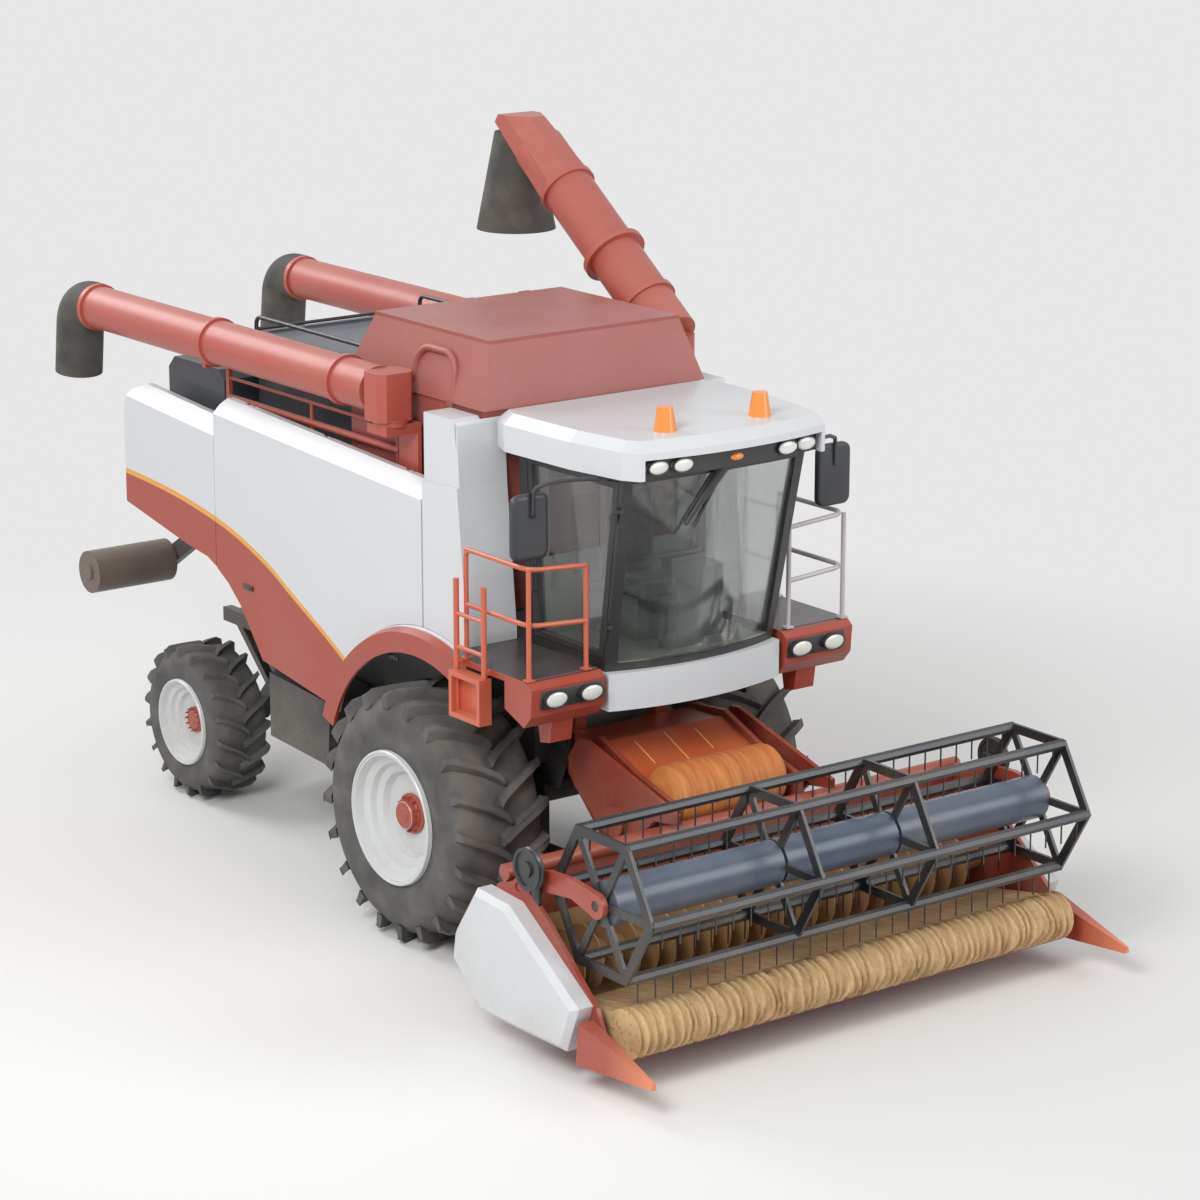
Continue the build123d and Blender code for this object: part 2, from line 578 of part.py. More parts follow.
def augers():
    """Three unloading augers: two folded back along the body and one raised."""
    save("unloader_towers", tower(-1, *RIGHT_PIVOT, NECK_DROP), tower(1, *LEFT_PIVOT, NECK_DROP),
         tower(1, *RAISED_PIVOT, 0))
    folded = (("right", -1, RIGHT_END_X, RIGHT_PIVOT), ("left", 1, LEFT_END_X, LEFT_PIVOT))
    for name, side, end_x, pivot in folded:
        tube, spout = folded_auger(end_x, side, pivot)
        save(f"unloader_{name}", tube)
        save(f"spout_{name}", spout)
    rise = radians(RAISED_ANGLE)
    x, turret_z = RAISED_PIVOT
    foot = Vector(x, RAISED_Y, RAISED_Z)
    way = Vector(-cos(rise), 0, sin(rise))
    tube = rod(tuple(foot), tuple(foot + way * 2000), RAISED_R)
    bands = []
    for along, wider in ((330, 22), (830, 48), (1540, 22)):
        at = foot + way * along
        bands.append(rod(tuple(at), tuple(at + way * 46), RAISED_R + wider))
    knuckle = rod((x, RAISED_Y, turret_z), (x, RAISED_Y, RAISED_Z + 20), 165)
    hood_plane = Plane(origin=tuple(foot + way * 1586), x_dir=(0, 1, 0), z_dir=way)
    hood = extrude(hood_plane * Rot(0, 0, 22.5) * RegularPolygon(RAISED_R + 22, 8), amount=800, taper=3)
    outlet_x = -2180
    hood -= block(-4000, 0, 0, 2000, 5370, 6000)
    raised = tube.fuse(*bands, knuckle, hood)
    save("unloader_raised", raised)
    low_z, high_z = 4500, 5230
    outer = turned_up([(0, low_z), (300, low_z), (160, high_z), (0, high_z)])
    inner = turned_up([(0, low_z - 1), (282, low_z - 1), (148, high_z - 60), (0, high_z - 60)])
    place = Pos(outlet_x, RAISED_Y, 0)
    cone = place * (outer - inner)
    save("spout_raised", (cone - raised).solids().sort_by(Axis.Z)[0])


def cab_outline(z, inset):
    """The cab's outline at one height: straight sides and a bowed windscreen."""
    share = (z - CAB_FLOOR_Z) / (CAB_TOP_Z - CAB_FLOOR_Z)
    y = CAB_Y - 50 * (1 - share) - inset
    rear = CAB_REAR_X + inset
    corner = 1405 + 275 * share - inset
    nose = 1545 + 165 * share - inset
    edges = Polyline((corner, y, z), (rear, y, z), (rear, -y, z), (corner, -y, z))
    bow = ThreePointArc((corner, -y, z), (nose, 0, z), (corner, y, z))
    return make_face([*edges.edges(), bow.edge()])


def bowed(corner_x, nose_x, y, rear_x, z0, z1):
    """A block whose front is bowed forwards from its corners to its nose."""
    bow = ThreePointArc((corner_x, -y, z0), (nose_x, 0, z0), (corner_x, y, z0))
    rest = Polyline((corner_x, y, z0), (rear_x, y, z0), (rear_x, -y, z0), (corner_x, -y, z0))
    return extrude(make_face([bow.edge(), *rest.edges()]), amount=z1 - z0, dir=(0, 0, 1))


def cab_hull(inset, low=CAB_FLOOR_Z, high=CAB_TOP_Z):
    """The solid inside the cab's walls at an inset."""
    return loft([cab_outline(low, inset), cab_outline(high, inset)], ruled=True)


def cab():
    """The cab's frame, glass, door, roof and what is seen inside it."""
    inside = cab_hull(CAB_WALL, CAB_FLOOR_Z, CAB_TOP_Z) & block(0, 3000, -2000, 2000, CAB_FLOOR_Z + 50,
                                                              CAB_TOP_Z - 50)
    shell = cab_hull(0) - inside
    pane = cab_hull(20) - cab_hull(20 + GLASS_T)

    def side_window(inset):
        return [(650 + inset, 2250 + inset), (1370 - inset, 2250 + inset), (1590 - inset * 1.2, 3470 - inset),
                (620 + inset, 3470 - inset)]

    def screen(inset):
        return front_slab([(-645 + inset, 2210 + inset), (645 - inset, 2210 + inset),
                           (690 - inset, 3480 - inset), (-690 + inset, 3480 - inset)], 1200, 2200)

    sill = DOOR_SILL_Z
    door_line = [(DOOR_REAR_X, sill), (1397, sill), (1632, 3500), (DOOR_REAR_X, 3500)]
    gap = SWING_GAP
    door_shrunk = [(DOOR_REAR_X + gap, sill + gap), (1397 - gap, sill + gap),
                   (1632 - gap, 3500 - gap), (DOOR_REAR_X + gap, 3500 - gap)]
    inner_low, inner_high = CAB_Y - 50 - CAB_WALL, CAB_Y - CAB_WALL
    room = front_slab([(-inner_low, CAB_FLOOR_Z), (-inner_high, CAB_TOP_Z), (0, CAB_TOP_Z), (0, CAB_FLOOR_Z)],
                      0, 3000)
    axis = ((1395 + 14, -CAB_Y + 33, 2215), (1632 + 14, -CAB_Y - 14, 3500))
    rear_window = front_slab([(-560, 2750), (560, 2750), (560, 3440), (-560, 3440)], 300, 800)
    frame = shell.cut(side_slab(side_window(0), 500, 900), screen(0), rear_window,
                      side_slab(door_line, -900, -500) - room)
    wiper = [rod((1714, 0, 3530), (1714, 0, 3440), 14), rod((1714, 0, 3447), (1706, -210, 3130), 13)]
    door = (shell & (side_slab(door_shrunk, -900, -500) - room)) - side_slab(side_window(25), -900, -500)
    start = Vector(*axis[0])
    way = Vector(*axis[1]) - start
    for share in (0.18, 0.82):
        middle = start + way * share
        reach = way.normalized() * 40
        pin = rod(tuple(middle - reach * 1.6), tuple(middle + reach * 1.6), HINGE_PIN_R)
        knuckle = rod(tuple(middle - reach), tuple(middle + reach * 0.2), HINGE_R)
        leaf = block(middle.X - 60, middle.X, middle.Y - 8, middle.Y + 8, middle.Z - 34, middle.Z)
        leaf += block(middle.X - 60, middle.X - 38, middle.Y - 8, middle.Y + 28, middle.Z - 34, middle.Z)
        hollow = rod(tuple(middle - reach * 2), tuple(middle + reach * 2), HINGE_PIN_R + RUN_GAP)
        door = (door + knuckle + leaf) - hollow
        holder = rod(tuple(middle + reach * 0.3), tuple(middle + reach * 1.2), HINGE_R)
        strap = block(middle.X - 4, middle.X + 36, middle.Y - 8, middle.Y + 34, middle.Z + 20, middle.Z + 44)
        frame += pin + holder + strap
    save("cab_frame", frame.fuse(*wiper))
    save("cab_door", door)
    side_glass = pane & side_slab(side_window(SEAT_GAP), 500, 900)
    front_glass = pane & screen(SEAT_GAP)
    rear_glass = block(520, 530, -560 + SEAT_GAP, 560 - SEAT_GAP, 2750 + SEAT_GAP, 3440 - SEAT_GAP)
    save("cab_glass", side_glass, front_glass, rear_glass)
    save("door_glass", pane & side_slab(side_window(25 + SEAT_GAP), -900, -500))
    plan = [(410, -880), (600, -960), (1300, -930), (1760, -850), (1870, -780)]
    bow = ThreePointArc((1870, -780, CAB_TOP_Z), (1960, 0, CAB_TOP_Z), (1870, 780, CAB_TOP_Z))
    back = Polyline(*[(x, y, CAB_TOP_Z) for x, y in [(1870, 780)] + [(x, -y) for x, y in reversed(plan)][1:]],
                    *[(x, y, CAB_TOP_Z) for x, y in plan])
    roof = extrude(make_face([bow.edge(), *back.edges()]), amount=ROOF_TOP_Z - CAB_TOP_Z, dir=(0, 0, 1))
    roof = chamfer(roof.faces().sort_by(Axis.Z)[-1].edges(), 70)
    core = bowed(BAND_BACK_X, BAND_BACK_X + BAND_BOW, VISOR_Y + 20, 1500, CAB_TOP_Z - 1, ROOF_TOP_Z)
    roof -= block(1700, 2100, -VISOR_Y, VISOR_Y, CAB_TOP_Z - 1, VISOR_Z) - core
    save("cab_roof", roof)
    band_y = VISOR_Y - SEAT_GAP
    band = bowed(BAND_X, BAND_X + BAND_BOW, band_y, 1700, CAB_TOP_Z + 8, VISOR_Z - SEAT_GAP)
    behind = BAND_BACK_X + SEAT_GAP
    band -= bowed(behind, behind + BAND_BOW, VISOR_Y + 20, 1500, CAB_TOP_Z, ROOF_TOP_Z)
    save("lamp_band", band)
    seat_base = block(800, 1080, -190, 190, CAB_FLOOR_Z + 50, 2500)
    console = side_slab([(1270, 2200), (1370, 2200), (1380, 2560), (1290, 2560)], -160, 160)
    console += block(1345, 1385, -140, 150, 2500, 2840)
    column = rod((1320, 0, 2500), (1210, 0, 2800), 28)
    wheel = Plane(origin=(1205, 0, 2815), z_dir=(-90, 0, 300)) * Torus(190, 14)
    hub = rod((1215, 0, 2785), (1200, 0, 2835), 45)
    spokes = [rod((1205, 0, 2815), (1205, side * 185, 2815), 10) for side in (-1, 1)]
    side_box = block(760, 1240, 250, 420, CAB_FLOOR_Z + 50, 2700)
    save("cab_fittings", seat_base, console.fuse(column, wheel, hub, *spokes), side_box)
    cushion = block(789 + SEAT_GAP, 1230, -235, 235, 2500 + SEAT_GAP, 2620)
    back_rest = side_slab([(720, 2560), (789, 2560), (789, 2640), (740, 3250), (660, 3240)], -220, 220)
    save("seat", cushion, back_rest)


def platforms():
    """The decks beside the cab with their lamp faces, and the beams under the cab."""
    low = CAB_FLOOR_Z
    deck_plate = block(500, 1400, 780, 1380, low, low + DECK_T)
    face = side_slab([(1180, 2190), (1440, 2190), (1490, 2150), (1475, 1960), (1400, 1875), (1180, 1960)],
                     780, 1380)
    lower = side_slab([(1200, 1962), (1385, 1882), (1360, 1720), (1250, 1700)], 965, 1140)
    beam = block(520, 620, 300, 1300, 2075, low)
    beam_front = block(1190, 1290, 300, 800, 2050, CAB_FLOOR_Z)
    plate = block(520, 1290, -700, 700, 2090, CAB_FLOOR_Z)
    post = block(530, 640, 300, 400, 1240, 2092)
    pieces = both(deck_plate, face, lower, beam, beam_front, post)
    save("platforms", plate.fuse(*pieces))
    apron = bowed(1470, 1590, 735, 1290 + SEAT_GAP, 1890, CAB_FLOOR_Z - SEAT_GAP)
    apron -= block(1200, 1440, -700, 700, 1800, 2120)
    save("front_apron", apron)


def railings():
    """Tube railings on both decks, and the ladder at the right-hand one."""
    y = 1350
    tubes = []
    for z in (2950, 2570):
        tubes.append(pipe([(700, y, z), (1420, y, z), (1400, 870, z - 40)], 17, 90))
    tubes.append(pipe([(700, y, 2196), (700, y, 2950), (900, y, 2950)], 17, 60))
    tubes.append(rod((1400, 870, 2196), (1400, 870, 2915), 17))
    tubes.append(rod((1415, y - 2, 2196), (1415, y - 2, 2950), 17))
    low = CAB_FLOOR_Z + DECK_T + SEAT_GAP
    feet = [block(x - 30, x + 30, fy - 30, fy + 30, low, low + 12)
            for x, fy in ((700, y), (1400, 870), (1415, y - 2))]
    rail = tubes[0].fuse(*tubes[1:], *feet)
    stiles = [rod((x, -1425, 1830), (x, -1425, 2760), 20) for x in (690, 1010)]
    rungs = [rod((690, -1425, z), (1010, -1425, z), 15) for z in (2290, 2520)]
    step = block(670, 1030, -1480, -1381, 1810, 2130) - block(705, 995, -1500, -1400, 1845, 2095)
    hooks = [block(x - 15, x + 15, -1425, -1380 - SEAT_GAP, low - 40, low - 5) for x in (690, 1010)]
    save("railings", *both(rail), stiles[0].fuse(stiles[1], *rungs, step, *hooks))


def oval_lamp(x, y, z, half_width, half_height, depth):
    """An oval lamp that looks forwards."""
    face = Plane(origin=(x, y, z), x_dir=(0, 1, 0), z_dir=(1, 0, 0)) * Ellipse(half_width, half_height)
    return extrude(face, amount=depth)


def fittings():
    """Mirrors, beacons and work lamps."""
    arm = pipe([(1560, 830, 3520), (1500, 1040, 3530), (1390, 1290, 3500), (1375, 1290, 3300)], 14, 60)
    head = block(1330, 1375, 1150, 1440, 3000, 3440)
    foot = block(1530, 1590, 800, 860, 3500, CAB_TOP_Z - SEAT_GAP)
    save("mirrors", *both(arm.fuse(head, foot)))
    beacon = Pos(1640, 400, ROOF_TOP_Z + SEAT_GAP) * Cone(78, 52, 160, align=(Align.CENTER, Align.CENTER,
                                                                            Align.MIN))
    save("lamps", *both(beacon))
    glasses = [oval_lamp(1488, y, 2068, 88, 52, 28) for y in (905, 1195)]
    front = BAND_X + SEAT_GAP
    band = bowed(front, front + BAND_BOW, VISOR_Y, 1700, CAB_TOP_Z, VISOR_Z)
    for y in (440, 622):
        face = BAND_X + BAND_BOW * (1 - (y / VISOR_Y) ** 2)
        glasses.append(oval_lamp(face - 60, y, (CAB_TOP_Z + VISOR_Z) / 2 + 4, 80, 44, 82) - band)
    save("work_lamps", *both(*glasses))


def feeder():
    """The feeder house with its side rails, in front of the pivot."""
    y = FEEDER_Y
    px, pz = FEEDER_PIVOT
    front = HEADER_BACK_X - SEAT_GAP
    side = side_slab([(px - 90, pz - 60), (px - 60, pz + 60), (1130, 1600), (1540, 1440),
                      (front, 1330), (front, 380), (1700, 380), (px - 20, 1250)], y - 40, y)
    trough = [(1130, 1560), (1540, 1385), (1620, 1190), (front, 1075)]
    upper = [(px - 40, pz + 40), *trough]
    top = side_slab([*upper, *[(x, z - 30) for x, z in reversed(upper)]], -y, y)
    floor = side_slab([(px, 1250), (1700, 400), (front, 400), (front, 430), (1710, 430), (px, 1280)], -y, y)
    roll = across(ROLL_AT[0], ROLL_AT[1], -y + 45, y - 45, SACK_R)
    roll -= side_slab([*[(x, z + SEAT_GAP) for x, z in trough], (front, 600), (1130, 600)], -y, y)
    cheek_line = [(930, 1430), (1050, 1590), (1140, 1600), (2150, 1327), (2150, 1262),
                  (1900, 1225), (1650, 1000), (1350, 1000), (1000, 1250)]
    cheeks = both(side_slab(cheek_line, CHEEK_Y - CHEEK_T, CHEEK_Y))
    drum_caps = both(across(1500, 1120, y - 5, CHEEK_Y + 45, 105))
    braces = both(across(1120, 1480, y - 5, CHEEK_Y - 2, 30), across(1900, 1290, y - 5, CHEEK_Y - 2, 22))
    holes = both(across(px, pz, y - 60, y + 20, 35 + RUN_GAP))
    ex, ez = LIFT_EYE
    lug_line = [(ex - 70, ez + 180), (ex - 50, ez), (ex, ez - 50), (ex + 50, ez), (ex + 70, ez + 60)]
    lugs = both(side_slab(lug_line, LIFT_Y - 56, LIFT_Y - 30), side_slab(lug_line, LIFT_Y + 30, FEEDER_Y))
    pin = both(across(ex, ez, LIFT_Y - 50, FEEDER_Y - 2, 22))
    house = top.fuse(*both(side), floor, *cheeks, *braces, *drum_caps, *lugs, *pin)
    house -= across(HEADER_BACK_X + 10, 1150, -y, y, 57)
    save("feeder_house", house.cut(*holes))
    save("feeder_roll", roll)


def cylinders():
    """The two lift cylinders, each a barrel on the chassis and a rod on the feeder."""
    start = LIFT_FOOT
    end = LIFT_EYE
    length = hypot(end[0] - start[0], end[1] - start[1])
    way = ((end[0] - start[0]) / length, (end[1] - start[1]) / length)

    def along(share):
        return (start[0] + way[0] * share, start[1] + way[1] * share)

    y = LIFT_Y

    def bar(a, b, r):
        (x0, z0), (x1, z1) = along(a), along(b)
        return rod((x0, y, z0), (x1, y, z1), r)

    barrel = bar(40, 640, 45) + across(*start, y - 25, y + 25, 48)
    barrel -= across(*start, y - 40, y + 40, LIFT_PIN_R + RUN_GAP)
    barrel -= bar(80, 700, 22.5 + RUN_GAP)
    save("lift_barrels", *both(barrel))
    shaft = bar(130, length - 25, 22.5) + across(*end, y - 24, y + 24, 44)
    shaft -= across(*end, y - 40, y + 40, 32)
    save("lift_rods", *both(shaft))


def header():
    """The cutting table: back wall, floor, end walls, shields, dividers and intake."""
    y = HEADER_Y - SHIELD_T
    back = block(HEADER_BACK_X, HEADER_BACK_X + 30, -y, y, 300, 1130)
    back -= block(HEADER_BACK_X - 10, HEADER_BACK_X + 50, -500, 500, 430, 850)
    beam = across(HEADER_BACK_X + 10, 1150, -y, y, 55)
    floor = side_slab([(HEADER_BACK_X, 330), (2050, 270), (2500, 270), (2960, 220), (3100, 190), (3100, 175),
                       (2950, 195), (2500, 240), (2040, 240), (HEADER_BACK_X, 300)], -y, y)
    wall_line = [(1900, 1060), (1640, 700), (1600, 480), (1900, 210), (2400, 185), (3000, 175), (3060, 330),
                 (2960, 520), (2450, 950), (2160, 1150)]
    wall = side_slab(wall_line, y - 30, y)
    pivot = across(*ARM_PIVOT, y - 31, y + 1, 60)
    table = back.fuse(beam, floor, *both(wall, pivot))
    table = table.cut(*both(across(*ARM_PIVOT, y - 60, y + 60, 30 + RUN_GAP)))
    save("header_table", table)
    shield_line = [(1830, 1030), (1590, 680), (1560, 480), (1890, 200), (2380, 200), (2800, 210), (2930, 530),
                   (2180, 1010)]
    shield = side_slab(shield_line, y + SEAT_GAP, HEADER_Y)
    outer = shield.faces().sort_by(Axis.Y)[-1]
    save("header_shields", *both(chamfer(outer.edges(), 40)))
    x = 2935
    inner = y + SEAT_GAP
    low = make_face(Polyline((x, inner, 170), (x, 2092, 170), (x, 2070, 440), (x, inner, 440), close=True))
    high = make_face(Polyline((TIP_X, 2000, 215), (TIP_X, 2040, 215), (TIP_X, 2030, 260), (TIP_X, 2010, 260),
                              close=True))
    point = loft([low, high], ruled=True)
    save("crop_dividers", *both(point - side_slab(wall_line, y - 30, y + SEAT_GAP)))
    apron = across(ROLL_X, ROLL_Z, -REEL_Y, REEL_Y, ROLL_R)
    bed = side_slab([(2480, 271), (2500, 395), (3000, 490), (ROLL_X, 480), (ROLL_X, 300), (3095, 192),
                     (2960, 221), (2500, 271)], -REEL_Y, REEL_Y)
    save("intake_apron", apron + bed)
    shaft = across(AUGER_X, AUGER_Z, -y + 45, y - 45, 90)
    stubs = both(across(AUGER_X, AUGER_Z, y - 46, y - 30 - SEAT_GAP, 30))
    flights = [Pos(AUGER_X, k * AUGER_PITCH, AUGER_Z) * many_sided([(-6, AUGER_R), (6, AUGER_R)], 24)
               for k in range(-11, 12)]
    save("header_auger", shaft.fuse(*stubs, *flights))


def reel():
    """The reel: six bats with tines, two end frames, two spiders and a tube; and its arms."""
    half = REEL_Y
    octagon = Plane(origin=(0, -half, 0), x_dir=(1, 0, 0), z_dir=(0, 1, 0)) * RegularPolygon(BAT_R, 8)
    bat = extrude(octagon, amount=2 * half, dir=(0, 1, 0))
    tines = []
    count = 26
    for i in range(count):
        y = -half + 90 + i * (2 * half - 180) / (count - 1)
        tines.append(block(-4, 4, y - 4, y + 4, -TINE_R, -BAT_R + 15))
    bat = bat.fuse(*tines)
    places = [(REEL_BAT_R * cos(radians(a)), REEL_BAT_R * sin(radians(a))) for a in range(0, 360, 60)]
    bats = [Pos(REEL_X + x, 0, REEL_Z + z) * bat for x, z in places]
    frames = []
    for y in (-half - 12, -485, 485, half - 12):
        plane = Plane(origin=(REEL_X, y, REEL_Z), x_dir=(1, 0, 0), z_dir=(0, 1, 0))
        ring = extrude(plane * (RegularPolygon(REEL_BAT_R + 34, 6) - RegularPolygon(REEL_BAT_R - 40, 6)),
                       amount=24, dir=(0, 1, 0))
        spokes = [Pos(REEL_X, y, REEL_Z) * Rot(0, a, 0) * block(0, REEL_BAT_R - 15, 0, 24, -26, 26)
                  for a in range(0, 360, 60)]
        frames.append(ring.fuse(*spokes))
    stubs = both(across(REEL_X, REEL_Z, half - 12, half + 54, 35))
    save("reel", bats[0].fuse(*bats[1:], *frames, *stubs))
    tube = [across(REEL_X, REEL_Z, y0 + SEAT_GAP, y1 - SEAT_GAP, 150)
            for y0, y1 in ((-half + 12, -485), (-461, 485), (509, half - 12))]
    save("reel_tube", *tube)
    (px, pz), rx, rz = ARM_PIVOT, REEL_X, REEL_Z
    arm_line = [(px - 60, pz + 40), (px + 60, pz + 110), (px + 260, pz + 175), (rx - 260, rz + 110),
                (rx, rz + 84), (rx, rz - 84), (rx - 250, rz - 20), (px + 260, pz + 30), (px, pz - 60)]
    arm = side_slab(arm_line, half + 16, half + 58) + across(rx, rz, half + 16, half + 58, 85)
    arm += across(*ARM_PIVOT, half + 20, HEADER_Y - SHIELD_T - 10, 30)
    arm -= across(REEL_X, REEL_Z, half, half + 80, 35 + RUN_GAP)
    save("reel_arms", *both(arm))


def spreaders():
    """The two drums behind the straw hood."""
    for name, side in (("right", -1), ("left", 1)):
        drum = across(DRUM_X, DRUM_Z, side * 420, side * 1130, DRUM_R)
        hub = across(DRUM_X, DRUM_Z, side * 1130, side * 1150, 60)
        hole = across(DRUM_X, DRUM_Z, side * 400, side * 560, 30 + RUN_GAP)
        save(f"spreader_drum_{name}", drum.fuse(hub) - hole)


wheels()
axles()
chassis()
body()
panels()
tank()
deck()
side_rails()
augers()
cab()
platforms()
railings()
fittings()
feeder()
cylinders()
header()
reel()
spreaders()
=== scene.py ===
import math

import bmesh
import bpy
from mathutils import Matrix, Vector, noise


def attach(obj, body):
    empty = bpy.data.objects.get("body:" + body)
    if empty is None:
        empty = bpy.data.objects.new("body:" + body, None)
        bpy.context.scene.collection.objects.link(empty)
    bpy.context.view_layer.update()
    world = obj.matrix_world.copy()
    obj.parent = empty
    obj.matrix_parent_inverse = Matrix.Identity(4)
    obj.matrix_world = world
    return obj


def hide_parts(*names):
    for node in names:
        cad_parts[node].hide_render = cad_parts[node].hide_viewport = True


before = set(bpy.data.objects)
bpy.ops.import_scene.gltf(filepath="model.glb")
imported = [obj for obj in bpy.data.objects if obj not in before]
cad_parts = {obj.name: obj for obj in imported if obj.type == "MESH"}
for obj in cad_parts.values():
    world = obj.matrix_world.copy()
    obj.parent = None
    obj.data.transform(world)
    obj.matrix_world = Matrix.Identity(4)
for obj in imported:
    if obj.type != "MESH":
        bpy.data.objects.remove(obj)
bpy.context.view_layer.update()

# The front axle lies this far ahead of the origin, and pieces are placed from that axle
AHEAD = 1.0568
WHEELBASE = 3.74
FRONT = {"radius": 0.91, "width": 0.75, "rim": 0.467, "lugs": 20, "y": 1.15, "x": 0.0, "hub": 0.262}
REAR = {"radius": 0.609, "width": 0.47, "rim": 0.328, "lugs": 18, "y": 0.765, "x": -WHEELBASE, "hub": 0.132}
WHEELS = (("front", FRONT), ("rear", REAR))
SIDES = ((1, "left"), (-1, "right"))
# The radius that stands for nought where a turned outline meets its own axis
POLE = 0.0005
VERT, EDGE, FACE = bmesh.types.BMVert, bmesh.types.BMEdge, bmesh.types.BMFace

# The yellow line along the side panels, as (x, z) from the front axle
SIDE_LINE = ((-4.30, 2.615), (-3.96, 2.59), (-2.88, 2.49), (-2.19, 2.31), (-1.74, 2.11), (-1.04, 1.77),
             (-0.90, 1.68))
# The section of the intake roll and its bed, as (x, z)
INTAKE_LOOP = ((2.50, 0.395), (2.60, 0.414), (2.70, 0.434), (2.80, 0.453), (2.90, 0.473), (3.00, 0.492),
               (3.06, 0.530), (3.13, 0.550), (3.20, 0.536), (3.26, 0.494), (3.296, 0.43), (3.302, 0.37),
               (3.285, 0.31), (3.245, 0.255), (3.19, 0.222), (3.12, 0.209), (3.06, 0.214), (2.96, 0.226),
               (2.80, 0.240), (2.65, 0.256), (2.50, 0.275))
# The middle of each work lamp on the left, and its half width and half height
WORK_LAMPS = ((1.516, 0.905, 2.068, 0.088, 0.052), (1.516, 1.195, 2.068, 0.088, 0.052),
              (1.892, 0.440, 3.6175, 0.080, 0.044), (1.864, 0.622, 3.6175, 0.080, 0.044))
# The bent tube that holds the left mirror, from the roof to the shell
MIRROR_TUBE = ((1.56, 0.83, 3.52), (1.53, 0.95, 3.528), (1.49, 1.06, 3.53), (1.44, 1.19, 3.52),
               (1.40, 1.27, 3.49), (1.381, 1.288, 3.44), (1.376, 1.29, 3.30))


def at(x, y, z):
    """A place given from the front axle, in the frame of the model."""
    return Vector((x + AHEAD, y, z))


def wheel_centre(wheel, side):
    """The middle of a wheel that stands on the ground."""
    return at(wheel["x"], side * wheel["y"], wheel["radius"])


def tone(red, green, blue):
    """An 8-bit screen colour as the linear colour a shader wants."""
    def linear(value):
        value /= 255
        return value / 12.92 if value <= 0.04045 else ((value + 0.055) / 1.055) ** 2.4

    return (linear(red), linear(green), linear(blue), 1.0)


WHITE = tone(208, 211, 214)
WHITE_FADED = tone(218, 221, 224)
RED = tone(162, 62, 42)
RED_FADED = tone(178, 92, 74)
YELLOW = tone(226, 160, 62)
DUST = tone(168, 152, 128)
BLACK = tone(34, 35, 37)
BLACK_FADED = tone(62, 64, 68)
FLOOR = (0.82, 0.82, 0.81, 1.0)
BACKDROP = (0.80, 0.80, 0.80, 1.0)


def add(tree, kind, inputs=None, **settings):
    """One shader node with its settings, and its inputs set or linked."""
    made = tree.nodes.new(kind)
    for name, value in settings.items():
        setattr(made, name, value)
    for name, value in (inputs or {}).items():
        socket = made.inputs[name]
        if isinstance(value, bpy.types.NodeSocket):
            tree.links.new(value, socket)
        else:
            socket.default_value = value
    return made


def math_node(tree, operation, first, second=0.5, clamp=False):
    """One sum of two values."""
    return add(tree, "ShaderNodeMath", {0: first, 1: second}, operation=operation, use_clamp=clamp).outputs[0]


def ramp(tree, value, low, high, to_low=0.0, to_high=1.0):
    """A value from low to high turned into one from to_low to to_high."""
    return add(tree, "ShaderNodeMapRange", {"Value": value, "From Min": low, "From Max": high,
                                            "To Min": to_low, "To Max": to_high}).outputs[0]


def mix(tree, factor, first, second):
    """Two colours mixed by a factor."""
    made = add(tree, "ShaderNodeMix", data_type="RGBA")
    for index, value in ((0, factor), (6, first), (7, second)):
        if isinstance(value, bpy.types.NodeSocket):
            tree.links.new(value, made.inputs[index])
        else:
            made.inputs[index].default_value = value
    return made.outputs[2]


def effect(name, colours, numbers):
    """A shader node group with named inputs, which gives a colour, a roughness and a height."""
    tree = bpy.data.node_groups.new(name, "ShaderNodeTree")
    for label in colours:
        tree.interface.new_socket(label, in_out="INPUT", socket_type="NodeSocketColor")
    for label in numbers:
        tree.interface.new_socket(label, in_out="INPUT", socket_type="NodeSocketFloat")
    for label in ("Colour", "Roughness", "Height"):
        kind = "NodeSocketColor" if label == "Colour" else "NodeSocketFloat"
        tree.interface.new_socket(label, in_out="OUTPUT", socket_type=kind)
    return tree, tree.nodes.new("NodeGroupInput"), tree.nodes.new("NodeGroupOutput")


def finish_group(tree, out, **values):
    """Links a group's outputs."""
    for label, socket in values.items():
        tree.links.new(socket, out.inputs[label])
    return tree


def product(tree, first, *others):
    """Several values multiplied."""
    for other in others:
        first = math_node(tree, "MULTIPLY", first, other)
    return first


def object_place(tree):
    """Where a point lies in its object's own coordinates."""
    return add(tree, "ShaderNodeTexCoord").outputs["Object"]


def parts_of(tree, vector):
    """The X, Y and Z of a vector."""
    return add(tree, "ShaderNodeSeparateXYZ", {0: vector}).outputs


def surface(tree, label):
    """What a surface tells of itself, such as its normal."""
    return add(tree, "ShaderNodeNewGeometry").outputs[label]


def blotches(tree, place, scale, detail):
    """Noise over a surface."""
    return add(tree, "ShaderNodeTexNoise", {"Vector": place, "Scale": scale, "Detail": detail}).outputs["Fac"]


